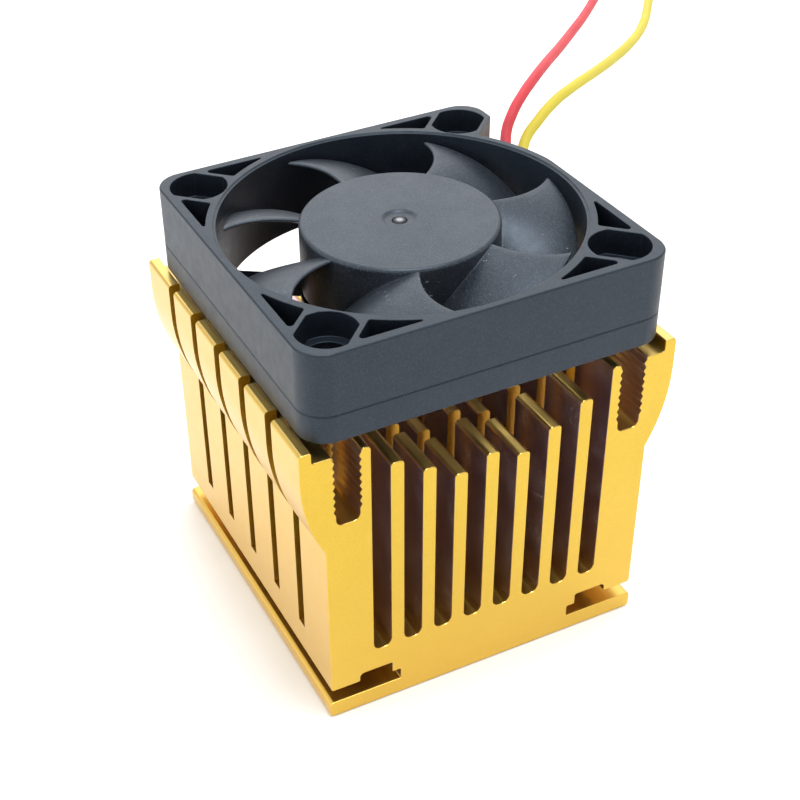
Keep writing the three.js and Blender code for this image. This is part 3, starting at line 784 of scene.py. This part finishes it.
def recess_wall():
    """The wall beside a recess: its shift from the corner's diagonal along one axis, and the
    smaller coordinate of the point where it meets the ring.
    """
    shift = (RECESS_HALF_WIDTH + RECESS_WALL) * sqrt(2)
    meeting = (sqrt(2 * RING_RADIUS**2 - shift**2) - shift) / 2
    return shift, meeting


def ring_arc(start, end, steps):
    return [polar(RING_RADIUS, start + (end - start) * step / steps) for step in range(steps + 1)]


def pocket_outline():
    """The pocket beside the corner at +X +Y that lies along X: an arc and two straight sides."""
    outer = FAN_HALF - POCKET_WALL
    shift, meeting = recess_wall()
    tip = degrees(atan2(outer, sqrt(RING_RADIUS**2 - outer**2)))
    inner = degrees(atan2(meeting + shift, meeting))
    arc = ring_arc(tip, inner, 6)
    corners = [(x, y, 0) for x, y in arc]
    corners[0] = (*arc[0], POCKET_TIP)
    corners[-1] = (*arc[-1], POCKET_CORNER)
    corners.append((outer - shift, outer, POCKET_CORNER))
    return rounded(corners, steps=4)


def notch_outline():
    """The open side beside the corner at +X +Y, from the ring's wall out past the frame."""
    shift, meeting = recess_wall()
    start = degrees(atan2(sqrt(RING_RADIUS**2 - FAN_HALF**2), FAN_HALF))
    inner = degrees(atan2(meeting, meeting + shift))
    beyond = FAN_HALF + PAST
    arc = ring_arc(start, inner, 8)
    corners = [(x, y, 0) for x, y in arc]
    corners[-1] = (*arc[-1], POCKET_CORNER)
    corners += [(beyond, beyond - shift, 0), (beyond, arc[0][1] - 0.2, 0)]
    return rounded(corners, steps=4)


def recess_outline():
    """The recess round one hole, flattened on both sides of the corner's diagonal."""
    spread = degrees(acos(RECESS_HALF_WIDTH / RECESS_RADIUS))
    steps = 14
    outline = []
    for middle in (45, 225):
        reach = 90 - spread
        for step in range(steps + 1):
            x, y = polar(RECESS_RADIUS, middle - reach + 2 * reach * step / steps)
            outline.append((HOLE_CENTRE + x, HOLE_CENTRE + y))
    return outline


def mirrored(outline, side_x, side_y):
    return [(side_x * x, side_y * y) for x, y in outline]


def swapped(outline):
    return [(y, x) for x, y in outline]


def corner_tools(side_x, side_y):
    """What is cut out of one corner: its hole, its recess, and a pocket on either side of it.

    The corner over the lead channel has an open notch instead of its second pocket.
    """
    hole = circle(HOLE_RADIUS, 40, (HOLE_CENTRE, HOLE_CENTRE))
    second = notch_outline() if side_x > 0 and side_y > 0 else swapped(pocket_outline())
    shapes = [
        (hole, -PAST),
        (recess_outline(), RECESS_FLOOR),
        (pocket_outline(), POCKET_FLOOR),
        (second, POCKET_FLOOR),
    ]
    return [
        prism("cutter", mirrored(outline, side_x, side_y), floor, ABOVE_FAN)
        for outline, floor in shapes
    ]


def make_frame():
    shell = frame_body()
    combined(shell, "DIFFERENCE", prism("bore", circle(BORE_RADIUS, 180), -PAST, ABOVE_FAN))
    rim = prism("rim", circle(RIM_RADIUS, 180), FAN_HEIGHT - RIM_DEPTH, ABOVE_FAN)
    combined(shell, "DIFFERENCE", rim)
    for side_x in (-1, 1):
        for side_y in (-1, 1):
            combined(shell, "DIFFERENCE", *corner_tools(side_x, side_y))
    start = MOTOR_PLATE_RADIUS - STRUT_OVERLAP
    end = BORE_RADIUS + STRUT_OVERLAP
    plate = prism("plate", circle(MOTOR_PLATE_RADIUS, 96), *MOTOR_PLATE)
    tube = prism("tube", circle(BEARING_TUBE_RADIUS), *BEARING_TUBE)
    struts = [
        prism("strut", bar(start, end, STRUT_WIDTH, angle), 0, STRUT_THICKNESS)
        for angle in STRUT_ANGLES
    ]
    channel_width = CHANNEL_WIDTH + 2 * CHANNEL_WALL
    floor_strut = prism("strut", bar(start, end, channel_width, LEAD_ANGLE), 0, STRUT_THICKNESS)
    combined(shell, "UNION", plate, tube, *struts, floor_strut)
    bearing = prism("bearing", circle(BEARING_TUBE_BORE), -PAST, ABOVE_FAN)
    trench = bar(CHANNEL_START, CHANNEL_END, CHANNEL_WIDTH, LEAD_ANGLE)
    channel = prism("channel", trench, *CHANNEL)
    combined(shell, "DIFFERENCE", bearing, channel)
    soften_edges(shell, FRAME_EDGE)
    return shell


shell = make_frame()

# ---------------------------------------------------------------- impeller

HUB_RADIUS = 10.5
HUB_TOP = 9.5
HUB_BOTTOM = 2.0
HUB_WALL = 0.9
HUB_EDGE = 0.45
IMPELLER_EDGE = 0.06
HUB_BOSS = (1.6, 7.4)
SHAFT_BORE = 0.8
DIMPLE_RADIUS = 2.0
DIMPLE_SLOPE = 0.6
DIMPLE_DEPTH = 0.25
BLADE_COUNT = 7
BLADE_TIP_RADIUS = 18.25
BLADE_TOP = 9.05
BLADE_BOTTOM = 2.5
BLADE_CHORD_ANGLE = 47
BLADE_CAMBER = (0.45, 0.55)
BLADE_THICKNESS = 0.9
BLADE_END_THICKNESS = 0.45
BLADE_SWELL = 0.55
BLADE_FIRST_ANGLE = 46.4
BLADE_WAIST_RADIUS = 12.6
BLADE_SWEEP = 0.23
BLADE_ROOT_OVERLAP = 0.5
BLADE_ROWS = 20
BLADE_COLUMNS = 22

# Places along the chord, as shares of it, between which the blade's end is rounded.
BLADE_NOSE = (0.0, 0.004, 0.012, 0.028)


def hub_profile():
    ceiling = HUB_TOP - HUB_WALL
    inner = HUB_RADIUS - HUB_WALL
    boss_radius, boss_end = HUB_BOSS
    profile = [
        (SHAFT_BORE, boss_end),
        (boss_radius, boss_end),
        (boss_radius, ceiling),
        (inner, ceiling),
        (inner, HUB_BOTTOM),
        (HUB_RADIUS, HUB_BOTTOM),
    ]
    steps = 6
    for step in range(steps + 1):
        x, y = polar(HUB_EDGE, 90 * step / steps)
        profile.append((HUB_RADIUS - HUB_EDGE + x, HUB_TOP - HUB_EDGE + y))
    for step in range(steps + 1):
        drop = (1 - cos(pi * step / steps)) / 2
        radius = DIMPLE_RADIUS - DIMPLE_SLOPE * step / steps
        profile.append((radius, HUB_TOP - DIMPLE_DEPTH * drop))
    profile.append((SHAFT_BORE, HUB_TOP - DIMPLE_DEPTH))
    return profile


def blade_point(chord, radius):
    """A point of a blade's middle surface: 0 to 1 along the chord, and its radius."""
    lead = BLADE_FIRST_ANGLE + BLADE_SWEEP * (radius - BLADE_WAIST_RADIUS) ** 2
    x, y = polar(radius, lead - BLADE_CHORD_ANGLE * chord)
    slope, curl = BLADE_CAMBER
    drop = slope * chord + curl * chord * chord
    return Vector((x, y, BLADE_TOP - (BLADE_TOP - BLADE_BOTTOM) * drop))


def blade_normal(chord, radius):
    along = blade_point(chord + 0.01, radius) - blade_point(chord - 0.01, radius)
    across = blade_point(chord, radius + 0.1) - blade_point(chord, radius - 0.1)
    normal = across.cross(along).normalized()
    return normal if normal.z > 0 else -normal


def blade_section(radius, chords, turn):
    """One closed loop round a blade: over its top from nose to tail, and back underneath."""
    nose = BLADE_NOSE[-1]
    top = []
    bottom = []
    for chord in chords:
        thickness = BLADE_THICKNESS * (BLADE_END_THICKNESS + BLADE_SWELL * sin(pi * chord))
        from_end = min(chord, 1 - chord, nose) / nose
        offset = thickness / 2 * sqrt(1 - (1 - from_end) ** 2)
        here = blade_point(chord, radius)
        normal = blade_normal(chord, radius)
        top.append(turn @ (here + normal * offset))
        bottom.append(turn @ (here - normal * offset))
    loop = top + bottom[-2:0:-1]
    return [FAN_AXIS + point for point in loop]


def make_blade(index):
    first = BLADE_NOSE[-1]
    middle = [
        first + (1 - 2 * first) * step / BLADE_COLUMNS for step in range(1, BLADE_COLUMNS)
    ]
    chords = [*BLADE_NOSE, *middle, *(1 - chord for chord in reversed(BLADE_NOSE))]
    turn = Matrix.Rotation(tau * index / BLADE_COUNT, 3, "Z")
    root = HUB_RADIUS - BLADE_ROOT_OVERLAP
    rings = []
    for row in range(BLADE_ROWS + 1):
        radius = root + (BLADE_TIP_RADIUS - root) * row / BLADE_ROWS
        rings.append(blade_section(radius, chords, turn))
    points = [point for ring in rings for point in ring]
    size = len(rings[0])
    faces = []
    for row in range(BLADE_ROWS):
        for column in range(size):
            after = (column + 1) % size
            low = row * size
            faces.append((low + column, low + after, low + size + after, low + size + column))
    for low in (0, BLADE_ROWS * size):
        for column in range(len(chords) - 1):
            corners = [low + column, low + column + 1]
            corners += [low + (size - column - 1) % size, low + (size - column) % size]
            faces.append(tuple(dict.fromkeys(corners)))
    return from_faces("blade", points, faces)


def make_impeller():
    hub = lathe("fan_rotor", hub_profile(), 128)
    combined(hub, "UNION", *(make_blade(index) for index in range(BLADE_COUNT)))
    soften_edges(hub, IMPELLER_EDGE, sharper_than=50)
    return hub


impeller = make_impeller()

# ---------------------------------------------------------------- connector

# Each pair is where a piece starts and ends along the connector, from its middle.
CONNECTOR_ENDS = (-4.5, 4.5)
CONNECTOR_WIDTH = 6.2
RIB_ENDS = (-2.5, 3.0)
RIB_WIDTH = 0.7
RIB_HEIGHT = 0.6
CAVITY_ENDS = (-10, 10)
CAVITY_HALF = 0.95
WINDOW_ENDS = (-1.2, 1.6)
WINDOW_WIDTH = 1.0
LEAD_GROOVE_ENDS = (-5.5, -3.0)
LEAD_GROOVE_DEPTH = 0.35
CONTACT_ENDS = (-2.1, 4.2)
CONTACT_HALF = 0.6
CONTACT_WALL = 0.22
CONTACT_BORE_ENDS = (0.2, 5)
SLIT_ENDS = (0.5, 5)
SLIT_WIDTH = 0.12
NECK_ENDS = (-0.7, -0.1)
NECK_WIDTH = 3
NECK_DEPTH = 0.4
HOUSING_EDGE = 0.12
CONTACT_EDGE = 0.03


def connector_piece(name, ends, width, low, high, offset=0.0):
    """A block along the connector, offset to one side, from one height to another."""
    return prism(name, bar(*ends, width, CONNECTOR_ANGLE, offset), low, high, CONNECTOR)


def make_housing():
    """A two-way crimp housing: a cavity, a latch window and a lead groove for each contact."""
    top = CONNECTOR_HEIGHT
    above = top + PAST
    middle = top / 2
    low, high = middle - CAVITY_HALF, middle + CAVITY_HALF
    housing = connector_piece("connector_body", CONNECTOR_ENDS, CONNECTOR_WIDTH, 0, top)
    rib = connector_piece("rib", RIB_ENDS, RIB_WIDTH, top - PAST, top + RIB_HEIGHT)
    combined(housing, "UNION", rib)
    for side in (-1, 1):
        offset = side * CONNECTOR_PITCH / 2
        floor = top - LEAD_GROOVE_DEPTH
        cavity = connector_piece("cavity", CAVITY_ENDS, 2 * CAVITY_HALF, low, high, offset)
        window = connector_piece("window", WINDOW_ENDS, WINDOW_WIDTH, middle, above, offset)
        groove = connector_piece("groove", LEAD_GROOVE_ENDS, WINDOW_WIDTH, floor, above, offset)
        combined(housing, "DIFFERENCE", cavity, window, groove)
    soften_edges(housing, HOUSING_EDGE)
    return housing


def make_contact(name, side):
    """A folded box contact, slit along its top, with a crimped neck towards the lead."""
    offset = side * CONNECTOR_PITCH / 2
    middle = CONNECTOR_HEIGHT / 2
    low, high = middle - CONTACT_HALF, middle + CONTACT_HALF
    above = high + PAST
    floor, ceiling = low + CONTACT_WALL, high - CONTACT_WALL
    bore_width = 2 * (CONTACT_HALF - CONTACT_WALL)
    contact = connector_piece(name, CONTACT_ENDS, 2 * CONTACT_HALF, low, high, offset)
    bore = connector_piece("bore", CONTACT_BORE_ENDS, bore_width, floor, ceiling, offset)
    slit = connector_piece("slit", SLIT_ENDS, SLIT_WIDTH, middle, above, offset)
    neck = connector_piece("neck", NECK_ENDS, NECK_WIDTH, high - NECK_DEPTH, above, offset)
    combined(contact, "DIFFERENCE", bore, slit, neck)
    soften_edges(contact, CONTACT_EDGE)
    return contact


housing = make_housing()
red_contact = make_contact("red_crimp", 1)
yellow_contact = make_contact("yellow_crimp", -1)

# ---------------------------------------------------------------- metal, plastic and film

# The stretch over which the colour of the flanks changes to the painted shade tint of the slots.
FADE = 0.3
FOOT_HEIGHT = 22


def gold_colour(shader, streaks, level, inner_side):
    """The anodised film: cloudy, mottled and streaked, with painted light on it: a painted tint on
    the faces that look along X, a painted reflection that makes the upward faces paler, a painted
    shade tint on the slots' sides, and a warmer tint towards the bottom.
    """
    cloud = shader.between(shader.noise(7.0, 3), 0.3, 0.7)
    base = shader.mix(cloud, (0.67, 0.44, 0.036), (0.70, 0.465, 0.044))
    mottled = shader.between(shader.noise(0.25, 3, 0.7), 0.42, 0.62, 0, 0.5)
    base = shader.mix(mottled, base, (0.62, 0.405, 0.03))
    streaked = shader.between(streaks, 0.55, 0.8, 0, 0.35)
    base = shader.mix(streaked, base, (0.60, 0.37, 0.026))
    # Painted light: faces that look along X take a redder tint, standing in for how they catch the
    # lamps.
    base = shader.mix(shader.facing("X"), base, (0.72, 0.44, 0.05))
    # Painted reflection: upward faces take a paler, bluer tint, standing in for the bright sky and
    # back light they catch.
    base = shader.mix(level, base, (0.69, 0.47, 0.12))
    # Painted shade: the sides of the slots take a pale rosy tint, standing in for how they look in
    # the slots' shade.
    base = shader.mix(inner_side, base, (0.72, 0.53, 0.58))
    foot = shader.between(shader.position("Z"), FOOT_HEIGHT * MM, 0.0, 0, 0.6)
    return shader.mix(foot, base, (0.74, 0.46, 0.06))


def gold_material():
    """Gold anodising under its clear oxide: drawn streaks on top, sawn ends, dust in the slots, a
    painted shade tint on the slots' sides, and painted light on the tops and flanks.
    """
    shader = Shader("gold_anodised", (0.67, 0.44, 0.036), 0.3, 1.0)
    streaks = shader.noise(0.4, 2, 0.6, shader.stretched((1, 0.015, 1)))
    level = shader.facing("Z")
    flank = BODY_HALF_WIDTH - FADE
    inside = shader.between(shader.from_middle("X"), flank * MM, (flank - FADE) * MM)
    # The sides of the slots: they carry the painted shade tint, and the dust specks below are kept
    # to them.
    square_on = shader.between(shader.facing("X"), 0.8, 0.95)
    inner_side = shader.maths("MULTIPLY", square_on, inside)
    base = gold_colour(shader, streaks, level, inner_side)
    specks = shader.patches(shader.noise(0.16, 1), 0.62, 4.0)
    dust = shader.maths("MULTIPLY", specks, inner_side)
    shader.metallic(shader.between(dust, 0, 1, 1, 0.2))
    shader.colour(shader.mix(dust, base, (0.72, 0.66, 0.55)))
    sawn = shader.between(shader.facing("Y"), 0.5, 0.9, 0.32, 0.36)
    uneven = shader.between(shader.noise(2.0, 3), 0.3, 0.7, -0.03, 0.04)
    shader.roughness(shader.maths("ADD", sawn, uneven))
    shader.bump(shader.maths("MULTIPLY", streaks, level), 0.005)
    shader.set("Coat Weight", 0.5)
    shader.set("Coat Roughness", 0.3)
    return shader.material


def brighter(colour, times):
    return tuple(times * part for part in colour)


def moulded_material(name, colour, paler, roughness, grain=0.16, scuffs_below=0.0):
    """Moulded plastic: a spark-eroded grain with painted glints on its high points, faint clouding,
    pale specks, scuffs if asked for.
    """
    shader = Shader(name, colour, roughness)
    cloud = shader.between(shader.noise(4.0, 4, 0.6), 0.35, 0.7)
    base = shader.mix(cloud, colour, paler)
    specks = shader.between(shader.noise(0.22, 1), 0.72, 0.78, 0, 0.5)
    base = shader.mix(specks, base, brighter(paler, 4))
    fine = shader.noise(grain, 2, 0.6)
    # Painted glints: the grain's high points are painted up to three times paler, standing in for
    # the sparkle where light catches the grain.
    painted_grain_glint = shader.between(fine, 0.5, 0.7, 0, 0.6)
    base = shader.mix(painted_grain_glint, base, brighter(paler, 3))
    if scuffs_below:
        start, full = scuffs_below * MM, (scuffs_below - 0.2) * MM
        short = shader.noise(0.3, 1, 0.5, shader.stretched((0.4, 1, 1)))
        below = shader.between(shader.position("Z"), start, full)
        marks = shader.maths("MULTIPLY", shader.patches(short, 0.73, 4.0), below)
        base = shader.mix(marks, base, (0.28, 0.29, 0.31))
    shader.colour(base)
    smooth, rough = roughness - 0.02, roughness + 0.04
    shader.roughness(shader.between(shader.noise(1.2, 3), 0.3, 0.7, smooth, rough))
    shader.bump(fine, 0.015)
    shader.bump(shader.noise(1.6, 2), 0.008)
    shader.set("Specular IOR Level", 0.57)
    shader.set("Specular Tint", (0.68, 0.83, 1.0, 1))
    return shader.material


def steel_material(name, colour, roughness, grain=0.1):
    """Drawn or turned steel: fine lines round the axis and slightly uneven polish."""
    shader = Shader(name, colour, roughness, 1.0)
    lines = shader.noise(grain, 3, 0.6, shader.stretched((0.05, 0.05, 1)))
    shader.roughness(shader.between(lines, 0.3, 0.7, roughness - 0.08, roughness + 0.1))
    shader.bump(lines, 0.003)
    shader.bump(shader.noise(1.5, 2), 0.004)
    return shader.material


def shaft_material():
    """Ground shaft steel, dulled by oil, with a painted highlight on the middle of its end."""
    colour = (0.05, 0.052, 0.058)
    shader = Shader("shaft_steel", colour, 0.45, 1.0)
    # Painted highlight: a small pale spot in the middle of the shaft's end.
    centre = shader.near(FAN_AXIS + Vector((0, 0, HUB_TOP)), 0.3, 0.5)
    shader.colour(shader.mix(centre, colour, (0.34, 0.34, 0.35)))
    lines = shader.noise(0.1, 3, 0.6, shader.stretched((0.05, 0.05, 1)))
    shader.roughness(shader.between(lines, 0.3, 0.7, 0.37, 0.55))
    shader.bump(lines, 0.003)
    shader.bump(shader.noise(0.4, 2), 0.01)
    return shader.material


def ferrite_material():
    """Bonded ferrite: near black and matte, with fine pores."""
    shader = Shader("ferrite", (0.028, 0.026, 0.027), 0.75)
    pores = shader.between(shader.cells(0.25), 0.1, 0.35)
    shader.colour(shader.mix(pores, (0.015, 0.014, 0.015), (0.04, 0.037, 0.038)))
    shader.bump(pores, 0.01)
    return shader.material


def bronze_material():
    """Sintered bronze: small open pores that darken with oil."""
    shader = Shader("bronze", (0.42, 0.24, 0.10), 0.5, 0.9)
    pores = shader.between(shader.cells(0.18), 0.12, 0.4)
    shader.colour(shader.mix(pores, (0.16, 0.085, 0.035), (0.48, 0.28, 0.12)))
    shader.bump(pores, 0.012)
    return shader.material


def lamination_material():
    """Stamped silicon steel, stacked: a dark line between one sheet and the next."""
    shader = Shader("silicon_steel", (0.25, 0.26, 0.28), 0.5, 0.9)
    sheets = shader.ridges(0.35)
    seam = shader.between(sheets, 0.0, 0.25)
    shader.colour(shader.mix(seam, (0.06, 0.06, 0.065), (0.30, 0.31, 0.33)))
    shader.bump(sheets, 0.03)
    return shader.material


def winding_material():
    """Enamelled copper wire, wound side by side, with the layers slightly uneven."""
    shader = Shader("copper_enamel", (0.55, 0.16, 0.05), 0.3, 0.85)
    wires = shader.ridges(0.12, "DIAGONAL", 0.4)
    shader.colour(shader.mix(wires, (0.28, 0.06, 0.02), (0.66, 0.24, 0.09)))
    shader.bump(wires, 0.04)
    return shader.material


def board_material():
    """Green solder mask over copper tracks, which lift it slightly."""
    shader = Shader("circuit_board", (0.02, 0.12, 0.05), 0.38)
    tracks = shader.between(shader.cells(1.6), 0.42, 0.46)
    shader.colour(shader.mix(tracks, (0.015, 0.10, 0.04), (0.04, 0.20, 0.08)))
    shader.bump(tracks, 0.03)
    shader.bump(shader.noise(0.3, 2), 0.004)
    return shader.material


def film_material():
    """Blank silver label film with a faint brushed print coat."""
    shader = Shader("label_film", (0.62, 0.63, 0.65), 0.4, 0.35)
    brushed = shader.noise(0.2, 3, 0.6, shader.stretched((0.04, 1, 1)))
    shader.colour(shader.mix(brushed, (0.52, 0.53, 0.55), (0.72, 0.73, 0.75)))
    shader.bump(brushed, 0.003)
    return shader.material


def nylon_material(name, colour, paler):
    """Unfilled nylon: milky, a little translucent, with shallow flow marks."""
    shader = Shader(name, colour, 0.45)
    flow = shader.noise(1.8, 3, 0.6)
    shader.colour(shader.mix(shader.between(flow, 0.35, 0.7), colour, paler))
    shader.roughness(shader.between(flow, 0.3, 0.7, 0.38, 0.52))
    shader.bump(flow, 0.015)
    shader.bump(shader.noise(0.15, 2), 0.003)
    shader.translucent(0.15, (0.8, 0.7, 0.5), 1.0)
    return shader.material


GOLD = gold_material()
FRAME_PLASTIC = moulded_material(
    "black_plastic",
    (0.004, 0.006, 0.010),
    (0.007, 0.010, 0.015),
    0.42,
)
HUB_PLASTIC = moulded_material(
    "hub_plastic",
    (0.012, 0.015, 0.020),
    (0.024, 0.028, 0.035),
    0.4,
    scuffs_below=FAN_AXIS.z + HUB_TOP - 0.1,
)
SHAFT_STEEL = shaft_material()
YOKE_STEEL = steel_material("yoke_steel", (0.42, 0.44, 0.46), 0.36)
FERRITE = ferrite_material()
BRONZE = bronze_material()
LAMINATIONS = lamination_material()
WINDING = winding_material()
BOARD = board_material()
EPOXY = moulded_material("chip_epoxy", (0.012, 0.012, 0.013), (0.02, 0.02, 0.022), 0.6, 0.05)
FILM = film_material()
NYLON = nylon_material("nylon", (0.72, 0.70, 0.62), (0.82, 0.80, 0.73))
WHITE_NYLON = nylon_material("white_nylon", (0.80, 0.78, 0.70), (0.88, 0.87, 0.80))
BRASS = steel_material("tinned_brass", (0.70, 0.66, 0.55), 0.3, 0.06)

NODE_MATERIALS = (
    (YOKE_STEEL, ["rotor_yoke"]),
    (FERRITE, ["rotor_magnet"]),
    (SHAFT_STEEL, ["rotor_shaft", "shaft_clip"]),
    (NYLON, ["oil_slinger", "thrust_washer", "insulator_upper", "insulator_lower"]),
    (BRONZE, ["sleeve_bearing"]),
    (LAMINATIONS, ["stator_core"]),
    (WINDING, ["stator_coil_1", "stator_coil_2", "stator_coil_3", "stator_coil_4"]),
    (BOARD, ["circuit_board"]),
    (EPOXY, ["hall_driver_chip", "smoothing_capacitor"]),
    (FILM, ["rating_label"]),
)

for material, names in NODE_MATERIALS:
    for name in names:
        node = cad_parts[name]
        node.data.materials.clear()
        node.data.materials.append(material)

dress(block, GOLD, "gold_anodised", "cooler_body", "heatsink")
dress(shell, FRAME_PLASTIC, "black_plastic", "cooler_body", "fan_frame")
dress(impeller, HUB_PLASTIC, "hub_plastic", "rotor", "impeller")
dress(housing, WHITE_NYLON, "white_nylon", "cooler_body", "connector_housing")
dress(red_contact, BRASS, "tinned_brass", "cooler_body", "red_contact")
dress(yellow_contact, BRASS, "tinned_brass", "cooler_body", "yellow_contact")

# ---------------------------------------------------------------- floor and light

FLOOR_HALF = 1500
FLOOR_DROP = 0.1
LIGHT_DISTANCE = 900


def make_floor():
    """A pale sheet of paper, a hair below the underside of the part."""
    corners = [
        (side_x * FLOOR_HALF, side_y * FLOOR_HALF, -FLOOR_DROP)
        for side_x, side_y in ((-1, -1), (1, -1), (1, 1), (-1, 1))
    ]
    floor = from_faces("floor", corners, [(0, 1, 2, 3)])
    shader = Shader("floor_paper", (0.9, 0.9, 0.9), 0.7)
    shader.roughness(shader.between(shader.noise(8.0, 2), 0.3, 0.7, 0.65, 0.8))
    floor.data.materials.append(shader.material)


def make_sky(strength):
    world = bpy.data.worlds.new("studio")
    world.use_nodes = True
    background = world.node_tree.nodes["Background"]
    background.inputs["Color"].default_value = (1, 1, 1, 1)
    background.inputs["Strength"].default_value = strength
    bpy.context.scene.world = world


def soft_light(name, azimuth, elevation, size, power):
    """A square soft box, size millimetres across, aimed at the origin."""
    light = bpy.data.lights.new(name, "AREA")
    light.shape = "SQUARE"
    light.size = size * MM
    light.energy = power
    way = direction(azimuth, elevation)
    lamp = bpy.data.objects.new(name, light)
    lamp.location = way * LIGHT_DISTANCE * MM
    lamp.rotation_euler = way.to_track_quat("Z", "Y").to_euler()
    bpy.context.scene.collection.objects.link(lamp)


make_floor()
make_sky(strength=0.95)
soft_light("key", azimuth=20, elevation=84, size=280, power=4.4)
soft_light("left", azimuth=-100, elevation=25, size=800, power=2)
soft_light("back", azimuth=158, elevation=38, size=900, power=2.9)
bpy.context.scene.view_settings.view_transform = "Standard"
